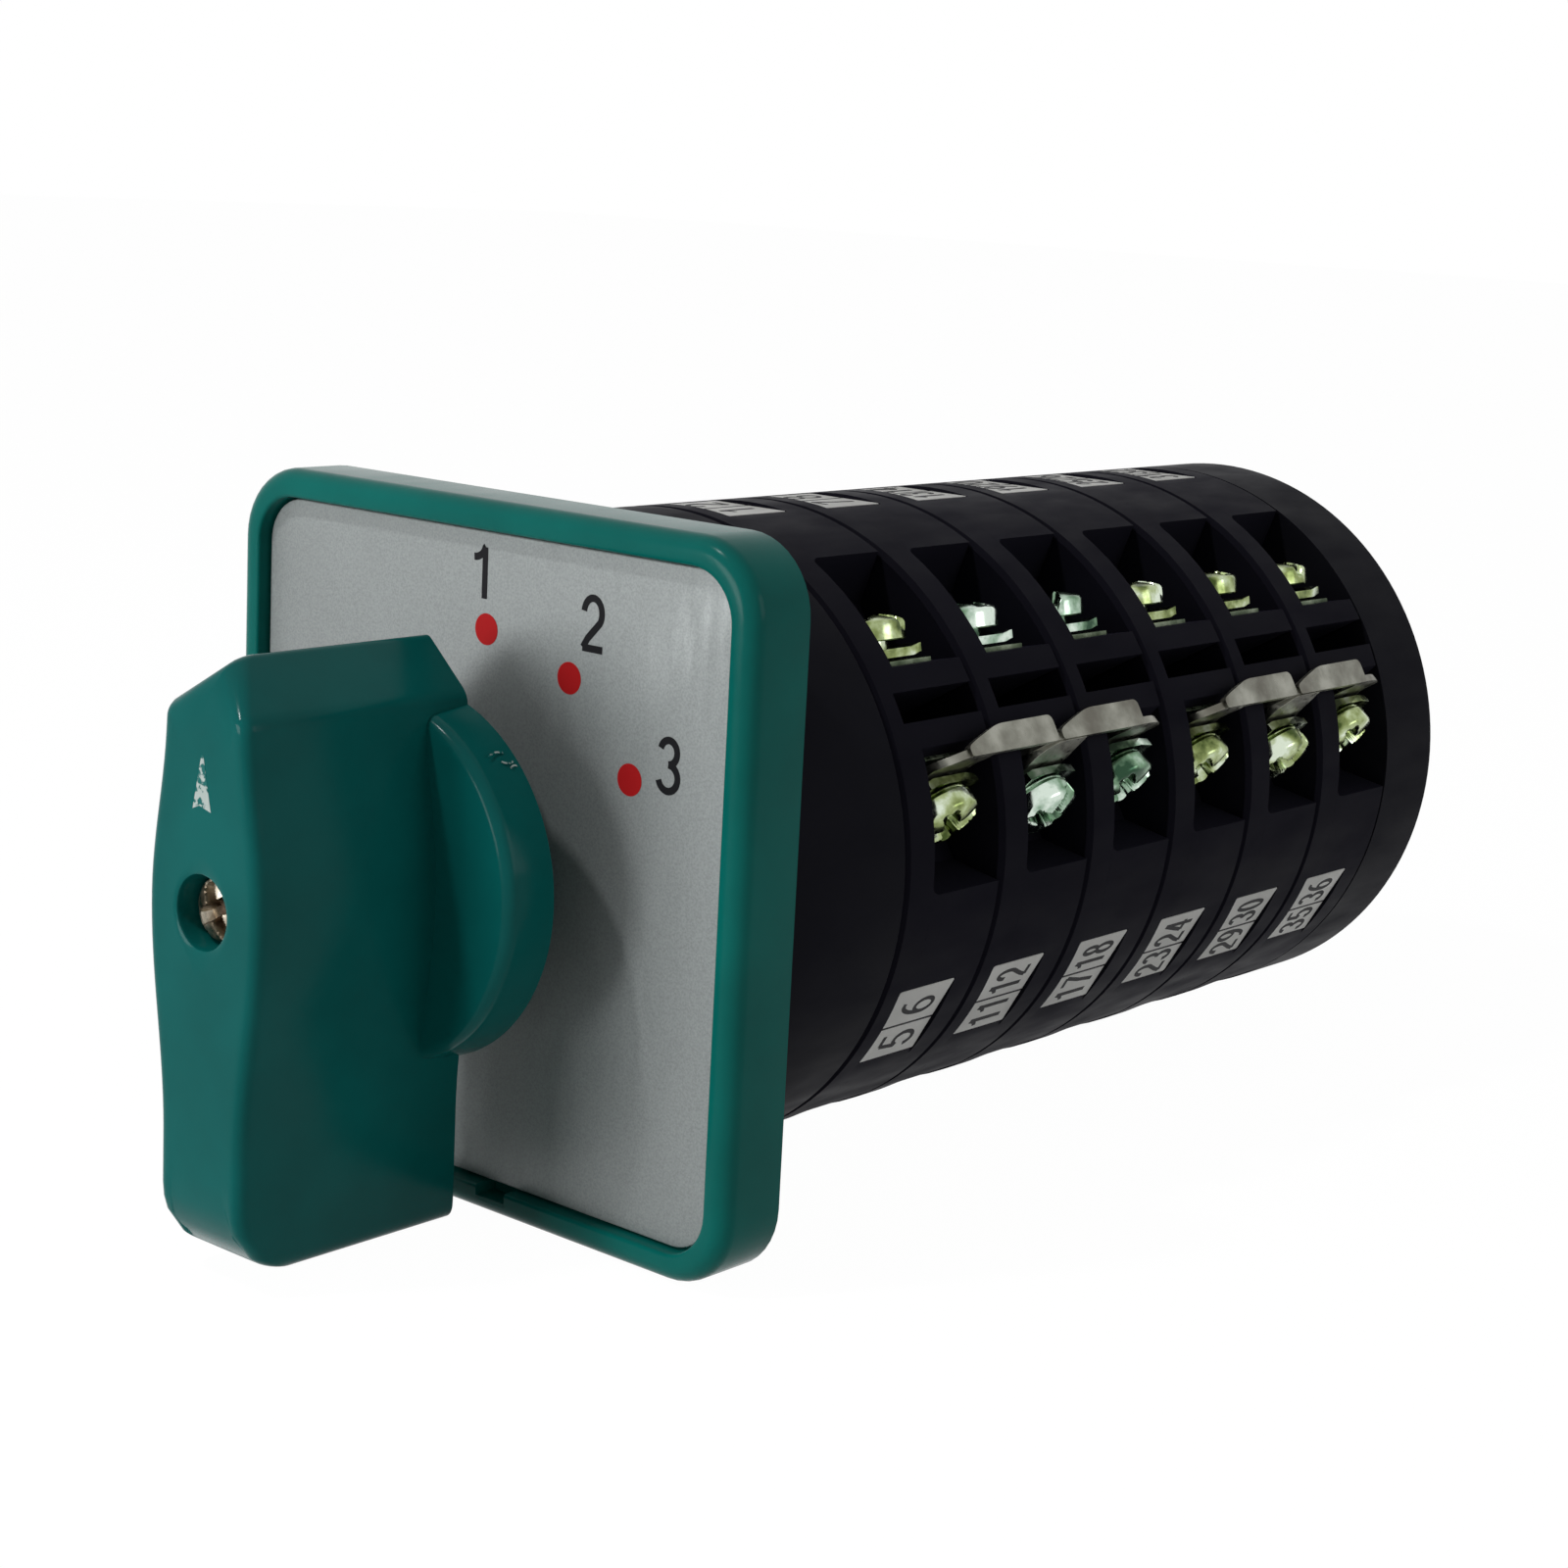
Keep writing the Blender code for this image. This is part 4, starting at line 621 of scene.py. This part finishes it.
knob = {
    "front": -36.78, "rear": -12.6, "chamfer": 0.3,
    "skirtFront": -17.65, "skirtRadii": (16.4, 16.0), "skirtEdge": 1.1,
    "halfWidth": 7.1, "endHalfWidth": 5.3, "shoulder": 16.3, "tip": 21.0, "tail": -30.6,
    "swellTail": -20.0, "tipRound": 5.6, "tailRound": 6.5, "edge": 1.1,
    "apexCut": 0.8, "shoulderCut": 1.0, "tailCut": 1.7,
    "recess": 3.1, "recessDepth": 4.3, "collar": 7.5, "collarEnd": -6.2,
    "arrowTip": 13.0, "arrowFoot": 8.5, "arrowHalf": 1.15,
    # scratches on the skirt's rim: angle, first and last y, and how far each one strays
    "scratches": ((48.5, -15.6, -13.9, 0.3), (46.0, -14.6, -13.4, -0.25),
                  (43.5, -14.0, -13.2, 0.2)),
}


# half width swells as a squared cosine about the axis and stays level towards the tail
def gripHalfWidth(z):
    k = knob
    end = np.where(z > 0, k["shoulder"], k["swellTail"])
    swell = np.cos(math.pi / 2 * np.minimum(z / end, 1.0)) ** 2
    return k["endHalfWidth"] + (k["halfWidth"] - k["endHalfWidth"]) * swell


# the curved sides run from low to high, with a rounded tip above them and a tail below
def gripOutline():
    k = knob
    low = k["tail"] + 4.0
    high = k["shoulder"] - 2.0
    w = k["endHalfWidth"]
    heights = np.linspace(low, high, 34)
    right = np.stack([gripHalfWidth(heights), heights], axis=1)
    corners = [(w, high), (w, k["shoulder"]), (0.0, k["tip"]), (-w, k["shoulder"]), (-w, high)]
    cuts = [0.01, k["shoulderCut"], k["apexCut"], k["shoulderCut"], 0.01]
    tip = roundedPolygon(corners, cuts, 8)
    corners = [(-w, low), (-w, k["tail"]), (w, k["tail"]), (w, low)]
    tail = roundedPolygon(corners, [0.01, k["tailCut"], k["tailCut"], 0.01], 8)
    return np.concatenate([right, tip[9:-9], right[::-1] * (-1, 1), tail[9:-9]])


# how far the face lies back from the front: two quarter rounds, over the tip and the tail
def faceSetback(z):
    k = knob
    return (fallAway(z - k["tip"] + k["tipRound"], k["tipRound"])
            + fallAway(k["tail"] + k["tailRound"] - z, k["tailRound"]))


# an outline drawn in along its normals, but not past the middle of the grip
def drawnIn(outline, distance):
    flat = outline - distance * outlineNormals(outline)
    flat[:, 0] = np.where(outline[:, 0] * flat[:, 0] < 0, 0.0, flat[:, 0])
    return flat


def gripGrid():
    k = knob
    outline = gripOutline()
    circle = outline / np.linalg.norm(outline, axis=1, keepdims=True)
    inner = drawnIn(outline, k["edge"])
    rows = [(circle * radius, level) for radius, level in
            ((0.0, k["recessDepth"]), (k["recess"], k["recessDepth"]), (k["recess"], 0.3),
             (k["recess"] + 0.1, 0.1), (k["recess"] + 0.3, 0.0))]
    for share in np.linspace(0.0, 1.0, 12)[1:]:
        flat = rows[4][0] * (1 - share) + inner * share
        rows.append((flat, faceSetback(flat[:, 1])))
    for out, back in quarter(6)[1:]:
        flat = drawnIn(outline, k["edge"] * (1 - out))
        rows.append((flat, faceSetback(flat[:, 1]) + k["edge"] * (1 - back)))
    depth = k["rear"] - k["front"]
    deepest = rows[-1][1]
    for share in np.linspace(0.0, 1.0, 8)[1:]:
        rows.append((outline, deepest + (depth - k["chamfer"] - deepest) * share))
    rows += [(outline - k["chamfer"] * outlineNormals(outline), depth), (outline * 0.0, depth)]
    return ringsAt([(flat, k["front"] + level) for flat, level in rows])


def makeKnob():
    k = knob
    rearRadius, frontRadius = k["skirtRadii"]
    skirt = [(0.0, k["skirtFront"]), *roundOver(frontRadius, k["skirtFront"], k["skirtEdge"], 5),
             (rearRadius, k["rear"] - k["chamfer"]), (rearRadius - k["chamfer"], k["rear"]),
             (0.0, k["rear"])]
    collar = rod(k["collar"], k["rear"] - 0.2, k["collarEnd"], 64)
    writePiece("knobBody", [gripGrid(), turned(skirt, 128), collar], "tealKnob", 32.0,
               body="rotor", stands="knob", slot="teal_plastic")
    half = k["arrowHalf"]
    arrow = [(-half, k["arrowFoot"]), (-0.3, k["arrowFoot"] + 0.35), (half, k["arrowFoot"]),
             (0.12, k["arrowTip"]), (-0.12, k["arrowTip"])]
    writePiece("knobArrow", [prism(arrow, k["front"] - 0.02, k["front"] + 0.1)], "wornArrow",
               body="rotor")
    scratches = []
    for degrees, start, end, lean in k["scratches"]:
        x, z = unit(degrees)
        out = np.array([x, 0.0, z])
        stray = lean * np.sin(np.linspace(0.0, 2.6, 6))
        stroke = np.stack([np.linspace(start, end, 6), stray], axis=1)
        scratches.append(ribbon(stroke, 0.16, 0.06, out * (rearRadius - 0.05),
                                ((0.0, 1.0, 0.0), (-z, 0.0, x), out)))
    writePiece("skirtScratches", scratches, "wornArrow", body="rotor")


makeKnob()
print("knob made")


# Screw heads: round, with a slot and a cross sunk in the top; they stand along +h

screws = {
    "terminal": {"radius": 3.5, "height": 2.5, "dome": 0.75, "slot": 0.55, "slotDepth": 0.9,
                 "cross": 0.62, "crossReach": 2.3, "crossDepth": 1.5},
    "knobScrew": {"radius": 2.75, "height": 2.2, "dome": 0.6,
                  "cross": 0.45, "crossReach": 1.9, "crossDepth": 1.3},
    "tieRod": {"radius": 3.1, "height": 2.2, "dome": 0.5, "slot": 0.5, "slotDepth": 0.9},
}


# 1 inside a band of this half width and 0 outside, with a short sloped wall
def band(distance, half, wall=0.22):
    return np.clip((half + wall - np.abs(distance)) / wall, 0.0, 1.0)


def headGrid(kind, twist, columns=88):
    s = screws[kind]
    share = np.concatenate([np.linspace(0.0, 0.93, 15), [0.96, 0.985, 1.0]])[:, None]
    circle = unit(np.arange(columns) * 360.0 / columns)
    p = s["radius"] * share * circle[:, 0]
    q = s["radius"] * share * circle[:, 1]
    u = p * math.cos(twist) + q * math.sin(twist)
    v = q * math.cos(twist) - p * math.sin(twist)
    edge = np.clip((share - 0.93) / 0.07, 0.0, 1.0)
    top = s["height"] - s["dome"] * share ** 2.2 - 0.25 * edge ** 2
    sunk = s["slotDepth"] * band(u, s["slot"]) if "slot" in s else 0.0 * u
    if "cross" in s:
        arm = np.maximum(band(u, s["cross"]) * band(v, s["crossReach"], 0.5),
                         band(v, s["cross"]) * band(u, s["crossReach"], 0.5))
        sunk = np.maximum(sunk, s["crossDepth"] * arm * (1 - 0.25 * share))
    top = np.maximum(top - sunk, 0.35)
    rows = [np.stack([p, q, top], axis=-1)]
    for inward, level in ((1.0, np.minimum(0.12, top[-1] - 0.05)), (0.97, 0.0), (0.0, 0.0)):
        level = np.broadcast_to(level, columns)
        rows.append(np.stack([p[-1] * inward, q[-1] * inward, level], axis=-1)[None])
    return np.concatenate(rows)


def makeKnobScrew():
    under = knob["front"] + knob["recessDepth"] - 0.8
    head = placed(headGrid("knobScrew", 0.5), (0, under, 0), (1, 0, 0), (0, 0, 1), (0, -1, 0))
    shank = turned([(0.0, under - 0.05), (1.7, under - 0.05), (1.7, under + 15.5),
                    (1.2, under + 16.0), (0.0, under + 16.0)], 40)
    writePiece("knobScrew", [head, shank], "knobScrew", 38.0, body="rotor", stands="knob_screw",
               slot="yellow_zinc")


makeKnobScrew()


# Body: the front ring and the six stages. A stage's section is drawn once for half of a
# terminal direction, as points (outwards, across) with their angles

stage = {
    "radius": 30.0, "firstFront": 17.0, "pitch": 14.0, "count": 6, "gap": 0.3, "frontEdge": 0.5,
    "flange": 4.2, "windowFront": 2.7, "directions": (30.0, 150.0, 270.0), "windowFloor": 21.0,
    "windowHalf": 1.45, "chamberFloor": 21.0, "wallRise": 12.8, "wallAngle": 33.0,
    "cornerRound": 1.0, "labelOffset": 60.0, "labelSeat": 0.45, "labelWidth": 9.8,
    "cardHalf": 4.4, "labelLength": 8.1, "labelStation": 6.9, "bore": 11.9, "hubHole": 6.8,
    "boreFront": 4.6, "pocketRoof": 26.6, "pocketHalf": 9.0, "pocketAngle": 33.0,
    "screwRadial": 24.2, "seatLevel": 5.5, "screwTilt": 18.0, "screwStation": 8.9,
    "ringFront": 0.3, "ringHole": 13.4,
}
stageNumbers = range(1, stage["count"] + 1)
tilt = math.radians(stage["screwTilt"])
windowPoints = 9            # points of a half section that lie in the small window


# degrees along the rim from the middle of a direction to a distance across
def rimAngle(across):
    return math.degrees(math.asin(across / stage["radius"]))


seatHalfAngle = rimAngle(stage["labelWidth"] / 2)


# y of a place this far behind the front of a stage
def stationOf(number, behind):
    return stage["firstFront"] + (number - 1) * stage["pitch"] + behind


# height of the leaning shelf over the middle of the direction, at a distance out
def shelfLevel(x):
    return stage["seatLevel"] + 0.2 + (stage["screwRadial"] - x) * math.tan(tilt)


# points of half a section with the rim angle beside each; roundedBy narrows the chamber
def halfSection(roundedBy):
    s = stage
    rim = s["radius"]
    windowRim = rimAngle(s["windowHalf"])
    x = rim
    for _ in range(4):
        x = math.sqrt(rim ** 2 - shelfLevel(x) ** 2)
    shelfRim = rimAngle(shelfLevel(x))
    floor = s["chamberFloor"]
    wallRim = s["wallAngle"] - math.degrees(roundedBy / rim)
    last = np.array((s["windowFloor"], 0.0, 0.0))
    points = [last[None]]
    # each run goes on to a point with its angle, or along the rim to an angle
    runs = [((s["windowFloor"], s["windowHalf"], windowRim * 0.6), 3),
            ((*rim * unit(windowRim), windowRim), 5), (shelfRim, 4),
            ((floor, shelfLevel(floor), shelfRim + 4.5), 6),
            ((floor, s["wallRise"] - roundedBy, wallRim - 5.0), 4),
            ((*rim * unit(wallRim), wallRim), 5),
            (s["labelOffset"] - seatHalfAngle, 8), (s["labelOffset"], 5)]
    for end, steps in runs:
        share = np.linspace(0.0, 1.0, steps + 1)[1:]
        if np.ndim(end) == 0:
            angle = last[2] + (end - last[2]) * share
            new = np.column_stack([rim * unit(angle), angle])
        else:
            new = last + (np.array(end) - last) * share[:, None]
        points.append(new)
        last = new[-1]
    return np.concatenate(points)


# the half section mirrored and repeated for the three directions: points (x, z) and angles;
# windowOnly leaves the terminal chambers closed
def wholeSection(roundedBy=0.0, windowOnly=False):
    half = halfSection(roundedBy)
    both = np.concatenate([half[:0:-1] * (1, -1, -1), half])[1:]
    if windowOnly:
        solid = np.abs(np.arange(len(both)) - (len(half) - 2)) >= windowPoints
        both[solid, :2] = stage["radius"] * unit(both[solid, 2])
    whole = [np.hstack([rotated(both[:, :2], direction), both[:, 2:] + direction])
             for direction in stage["directions"]]
    whole = np.concatenate(whole)
    return whole[:, :2], whole[:, 2]


# degrees from the label direction that belongs to a terminal direction, -180 to 180
def fromLabel(angle, direction):
    return (angle - direction - stage["labelOffset"] + 180.0) % 360.0 - 180.0


# points near a label direction brought in to the flat seat of the label
def withSeats(flat, angle):
    s = stage
    flat = flat.copy()
    onRim = np.hypot(flat[:, 0], flat[:, 1]) > s["radius"] - 0.01
    for direction in s["directions"]:
        away = fromLabel(angle, direction)
        near = onRim & (np.abs(away) < seatHalfAngle - 0.02)
        scale = (s["radius"] - s["labelSeat"]) / np.cos(np.radians(away)) / s["radius"]
        flat[near] *= scale[near, None]
    return flat


# the round bore, opened at each label direction into a square bridge pocket
def pocketRadius(angle):
    s = stage
    radius = np.full(len(angle), s["bore"])
    for direction in s["directions"]:
        away = np.radians(np.maximum(np.abs(fromLabel(angle, direction)), 0.5))
        reach = np.minimum(s["pocketRoof"] / np.cos(away), s["pocketHalf"] / np.sin(away))
        inside = away < math.radians(s["pocketAngle"])
        radius = np.where(inside, np.maximum(radius, reach), radius)
    return radius[:, None]


def stageGrid(number):
    s = stage
    full, angle = wholeSection()
    spokes = unit(angle)
    rim = spokes * s["radius"]
    pocket = spokes * pocketRadius(angle)
    seatFront = s["labelStation"] - s["labelLength"] / 2
    seatRear = s["labelStation"] + s["labelLength"] / 2
    windows = wholeSection(windowOnly=True)[0]
    seated = withSeats(windows, angle)
    rows = [(spokes * (s["radius"] - s["frontEdge"]), s["gap"]), (rim, s["gap"] + s["frontEdge"]),
            (rim, s["windowFront"]), (windows, s["windowFront"]), (windows, seatFront),
            (seated, seatFront), (seated, s["flange"])]
    for out, back in quarter(6):
        opened = wholeSection(s["cornerRound"] * (1 - out))
        rows.append((withSeats(*opened), s["flange"] + s["cornerRound"] * (1 - back)))
    rows += [(withSeats(full, angle), seatRear), (full, seatRear), (full, s["pitch"]),
             (pocket, s["pitch"]), (pocket, s["flange"]), (spokes * s["bore"], s["flange"]),
             (spokes * s["bore"], s["boreFront"]), (spokes * s["hubHole"], s["boreFront"]),
             (spokes * s["hubHole"], s["gap"])]
    return ringsAt([(flat, stationOf(number, y)) for flat, y in rows])


def makeBody():
    s = stage
    ring = [(s["ringHole"], s["ringFront"]),
            *roundOver(s["radius"], s["ringFront"], s["frontEdge"], 3),
            (s["radius"], s["firstFront"]), (s["ringHole"], s["firstFront"])]
    writePiece("frontRing", [closed(turned(ring, 144))], "blackEnds", 30.0, bevel=0.12,
               stands="front_housing", slot="black_plastic")
    for number in stageNumbers:
        writePiece(f"stageBody{number}", [closed(stageGrid(number))], "blackMoulding", 30.0,
                   bevel=0.14, stands=f"stage_housing_{number}", slot="black_plastic")
    print("stages made:", s["count"])


makeBody()


# Labels: a thin card on each flat seat, a dividing line and two terminal numbers

labels = {
    "thickness": 0.12, "figureHeight": 4.9, "figureWidth": 0.48, "squeeze": (0.80, 0.55),
    "shift": 2.1, "line": 0.24, "drop": 0.25,
    # direction, first number and how far the card lies off the middle
    "rows": ((90.0, 1, -0.35), (210.0, 3, 0.0), (330.0, 5, 0.35)),
}


def makeLabels():
    s = stage
    k = labels
    cards = []
    printed = []
    up = np.array([0.0, -1.0, 0.0])
    reach = s["labelLength"] / 2 - 0.1
    square = roundedPolygon([(-1, -1), (1, -1), (1, 1), (-1, 1)], [0.06] * 4, 3)
    line = np.stack([np.zeros(3), np.linspace(-reach, reach, 3)], axis=1)
    for number in stageNumbers:
        for direction, first, offset in k["rows"]:
            x, z = unit(direction)
            out = np.array([x, 0.0, z])
            across = np.array([-z, 0.0, x])
            place = out * (s["radius"] - s["labelSeat"] - 0.02)
            place[1] = stationOf(number, s["labelStation"])
            outline = square * (s["cardHalf"], reach) + (offset, 0.0)
            cards.append(placed(prism(outline, 0.0, k["thickness"]), place, across, out, up))
            face = place + out * k["thickness"]
            axes = (across, up, out)
            start = first + 6 * (number - 1)
            for value, side in ((start, -1), (start + 1, 1)):
                centre = face + across * side * k["shift"] - up * k["drop"]
                squeeze = k["squeeze"][len(str(value)) - 1]
                printed += numberPatches(value, k, squeeze, centre, axes)
            printed.append(ribbon(line, k["line"], 0.02, face, axes))
    writePiece("labelCards", cards, "whiteLabel", slot="white_nylon")
    writePiece("labelPrint", printed, "blackInk")


makeLabels()
print("labels made")


# Terminals: contact strip, clamp, washer and screw on a seat that leans outwards

terminal = {
    "stripHalf": 3.0, "strip": 0.6, "stripEnd": 4.2, "clampHalf": 3.5, "clampReach": 3.3,
    "clamp": 0.8, "clampLift": 0.25, "clampBend": 1.3, "washer": 0.4, "washerRadius": 3.3,
    "washerEdge": 0.15, "bore": 1.8, "openClamp": 0.9, "openHead": 2.5, "openStation": -0.7,
    "linked": (30.0, -1), "linkPairs": ((1, 2), (2, 3), (4, 5), (5, 6)), "link": 0.8,
    "shank": 1.7, "shankFoot": 0.5, "tipRadial": 16.0, "tipEnd": 4.2, "gap": 0.3,
    "greenStages": (2, 3),
}


# points (outwards, y, across) of one side of a terminal direction to the world
def fromSide(points, direction, side):
    c, s = unit(direction)
    return placed(points, (0, 0, 0), (c, 0, s), (0, 1, 0), (-s * side, 0, c * side))


# points (p outwards, y, h along the screw) of a leaning seat to the world
def fromSeat(points, direction, side, station):
    c, s = math.cos(tilt), math.sin(tilt)
    leaning = placed(points, (stage["screwRadial"], station, stage["seatLevel"]),
                     (c, 0, -s), (0, 1, 0), (s, 0, c))
    return fromSide(leaning, direction, side)


# a grid turned about Y made to stand along h
def upright(grid):
    return grid[..., [0, 2, 1]]


# the clamp: a plate whose two long edges turn up towards the head, as a half cosine
def clampGrid(level):
    t = terminal
    y = np.linspace(-t["clampHalf"], t["clampHalf"], 25)
    away = np.clip((np.abs(y) - t["clampHalf"] + t["clampBend"]) / t["clampBend"], 0.0, 1.0)
    under = level + t["clampLift"] * (1 - np.cos(math.pi * away)) / 2
    section = np.stack([np.concatenate([y, y[::-1]]),
                        np.concatenate([under, under[::-1] + t["clamp"]])], axis=1)
    ends = ringsAt([(section, -t["clampReach"]), (section, t["clampReach"])])
    return withPoles(ends[..., [1, 0, 2]])


def washerGrid(level):
    t = terminal
    edge, outer, top = t["washerEdge"], t["washerRadius"], level + t["washer"]
    ring = [(t["bore"], level), (outer - edge, level), (outer, level + edge),
            (outer, top - edge), (outer - edge, top), (t["bore"], top)]
    return closed(upright(turned(ring, 48)))


def stripGrid(station):
    t = terminal
    s = stage
    mid = t["strip"] / 2
    out = s["screwRadial"] + t["stripEnd"] * math.cos(tilt) + mid * math.sin(tilt)
    outLevel = s["seatLevel"] - t["stripEnd"] * math.sin(tilt) + mid * math.cos(tilt)
    c, n = unit(s["labelOffset"])
    tip = (t["tipRadial"] * c + t["tipEnd"] * n, t["tipRadial"] * n - t["tipEnd"] * c)
    slope = math.tan(tilt)
    bendX = (outLevel + slope * out - tip[1] - c / n * tip[0]) / (slope - c / n)
    path = np.array([(out, outLevel), (bendX, outLevel + (out - bendX) * slope), tip])
    half = mid * sideways(path)
    rows = ringsAt([(path + across * half, station + y * t["stripHalf"])
                    for across, y in ((1, -1), (1, 1), (-1, 1), (-1, -1))])
    return withPoles(np.moveaxis(rows, 0, 1))


def linksAt(number):
    return [pair for pair in terminal["linkPairs"] if number in pair]


# height of a lug that has this many others under it
def lugLevel(order):
    t = terminal
    return t["strip"] + t["gap"] + order * (t["link"] + t["gap"])


def terminalHead(twist, level):
    head = headGrid("terminal", twist)
    head[..., 2] += level
    return head


def makeTerminals():
    t = terminal
    random = np.random.default_rng(7)
    for number in stageNumbers:
        station = stationOf(number, stage["screwStation"])
        finish = "zincGreen" if number in t["greenStages"] else "zincYellow"
        strips = []
        heads = []
        for direction in stage["directions"]:
            for side in (1, -1):
                strips.append(fromSide(stripGrid(station), direction, side))
                twist = random.uniform(0.0, math.pi)
                if (direction, side) == t["linked"]:
                    continue
                shank = upright(rod(t["bore"], t["shankFoot"], t["openHead"] + 0.2, 32))
                for grid in (clampGrid(t["openClamp"]), shank, terminalHead(twist, t["openHead"])):
                    heads.append(fromSeat(grid, direction, side, station + t["openStation"]))
        writePiece(f"contactStrips{number}", strips, "contactStrip", 30.0, bevel=0.08,
                   slot="contact_copper")
        writePiece(f"terminalScrews{number}", heads, finish, 38.0, slot="yellow_zinc")
        level = lugLevel(len(linksAt(number)))
        ring = level + t["clamp"] + 0.1
        top = ring + t["washer"]
        linked = [clampGrid(level), washerGrid(ring),
                  terminalHead(2.2 + 0.4 * math.sin(number * 2.3), top + 0.1),
                  upright(rod(t["shank"], t["shankFoot"], top + 0.3, 32))]
        linked = [fromSeat(grid, *t["linked"], station) for grid in linked]
        writePiece(f"linkScrew{number}", linked, finish, 38.0, stands=f"link_screw_{number}",
                   slot="yellow_zinc")


makeTerminals()
print("terminals made")


# Links: a lug under each of two screws, and an upright that passes outside the rim

link = {
    "half": 3.0, "inner": -2.2, "outer": 31.4, "wall": 31.0, "thickness": 0.8, "bendFrom": 3.2,
    "edgeNear": 3.3, "edgeFar": 5.9, "start": -0.7, "end": -1.4, "innerRound": 1.2,
    "outerRound": 2.7, "frontCorner": ((0.0, 4.9), (1.3, 4.4), (5.0, 3.3)),
}


# a lug in its seat: rows along p, each a closed section; the inner end and the side away from
# the upright are rounded, and past the head the plate rises to the upright's far edge
def lugGrid(level, first):
    k = link
    tall = k["thickness"]
    out = k["outer"] - stage["screwRadial"]
    flat = stage["seatLevel"] + (level + tall / 2) / math.cos(tilt) - out * math.tan(tilt)
    lift = max(k["edgeFar"] - 0.4 - flat, 0.0) * math.cos(tilt)
    reach = (out - (level + lift) * math.sin(tilt)) / math.cos(tilt)
    innerStart = k["inner"] + k["innerRound"]
    outerStart = reach - k["outerRound"]
    p = np.concatenate([innerStart - k["innerRound"] * quarter(7)[:, 1],
                        np.linspace(0.0, outerStart, 14),
                        outerStart + k["outerRound"] * quarter(9)[1:, 0]])
    near = k["half"] - fallAway(innerStart - p, k["innerRound"])
    away = k["half"] / k["outerRound"] * fallAway(p - outerStart, k["outerRound"]) - near
    share = np.clip((p - k["bendFrom"]) / (reach - k["bendFrom"]), 0.0, 1.0)
    height = level + lift * share ** 2 * (3 - 2 * share)
    under = np.linspace(away, near, 7, axis=1)
    y = np.hstack([under, under[:, ::-1]]) * (1 if first else -1)
    h = height[:, None] + np.repeat([0.0, tall], 7)
    return withPoles(np.stack([np.broadcast_to(p[:, None], y.shape), y, h], axis=-1))


def makeLinks():
    k = link
    for pair in terminal["linkPairs"]:
        stations = [stationOf(number, stage["screwStation"]) for number in pair]
        patches = []
        for i, number in enumerate(pair):
            lug = lugGrid(lugLevel(linksAt(number).index(pair)), i == 0)
            patches.append(fromSeat(lug, *terminal["linked"], stations[i]))
        start = stations[0] + k["start"]
        end = stations[1] + k["end"]
        front = [(start + along, across) for along, across in k["frontCorner"]]
        outline = roundedPolygon([(start, k["edgeFar"]), *front, (end, k["edgeNear"]),
                                  (end, k["edgeFar"])], [0.4, 0.45, 0.6, 0.9, 0.8, 0.6])
        wall = prism(outline, k["wall"], k["wall"] + k["thickness"])[..., [1, 0, 2]]
        patches.append(fromSide(wall, *terminal["linked"]))
        writePiece("link%d%d" % pair, patches, "tinnedLink", bevel=0.24,
                   stands="link_%d_%d" % pair, slot="tinned_copper")


makeLinks()
print("links made")


# Rear end: a flat plate with three screw seats, and the heads of the tie rods

rear = {"front": 101.3, "end": 110.9, "rodCircle": 16.8, "seat": 3.4,
        "underHead": 108.4, "rodRadius": 1.7, "rodEnd": 8.0}


# a filled curve with three round holes, thickened, stood up along Y and made a mesh
def makePlate(places):
    r = rear
    curve = bpy.data.curves.new("rearPlate", "CURVE")
    curve.dimensions = "2D"
    curve.fill_mode = "BOTH"
    curve.extrude = (r["end"] - r["front"]) / 2000
    rim = ((0.0, 0.0), stage["radius"], 144)
    for centre, radius, count in [rim] + [(place, r["seat"], 48) for place in places]:
        ring = np.zeros((count, 4))
        ring[:, :2] = (centre + radius * unit(np.arange(count) * 360.0 / count)) / 1000
        ring[:, 3] = 1.0
        spline = curve.splines.new("POLY")
        spline.points.add(count - 1)
        spline.points.foreach_set("co", ring.astype(np.float32).ravel())
        spline.use_cyclic_u = True
    holder = addObject("rearCurve", curve)
    bpy.context.view_layer.update()
    seen = bpy.context.evaluated_depsgraph_get()
    data = bpy.data.meshes.new_from_object(holder.evaluated_get(seen))
    bpy.data.objects.remove(holder)
    middle = Matrix.Translation((0.0, (r["front"] + r["end"]) / 2000, 0.0))
    data.transform(middle @ Matrix.Rotation(math.pi / 2, 4, "X"))
    data.name = "rearPlate"
    finishPiece("rearPlate", data, "blackEnds", 30.0, bevel=0.4, stands="rear_plate",
                slot="black_plastic")


def makeRear():
    r = rear
    places = [r["rodCircle"] * unit(direction) for direction in stage["directions"]]
    makePlate(places)
    for number, (x, z) in enumerate(places, 1):
        head = placed(headGrid("tieRod", number * 1.1), (x, r["underHead"], z),
                      (1, 0, 0), (0, 0, 1), (0, 1, 0))
        shank = rod(r["rodRadius"], r["rodEnd"], r["underHead"] + 0.1, 32, (x, z))
        writePiece(f"tieRod{number}", [head, shank], "zincSteel", 38.0, stands=f"tie_rod_{number}",
                   slot="zinc_steel")


makeRear()
print("rear plate made")


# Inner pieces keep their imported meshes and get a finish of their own

inner = {
    "mounting_screw": "zincSteel", "switch_shaft": "zincSteel", "star_wheel": "whiteNylon",
    "index_plunger": "whiteNylon", "index_spring": "zincSteel", "cam_": "whiteNylon",
    "contact_": "contactCopper",
}


def dressInner():
    for name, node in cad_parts.items():
        for start, finish in inner.items():
            if name.startswith(start):
                node.data.materials.clear()
                node.data.materials.append(finishes[finish])


dressInner()
print("inner pieces dressed")
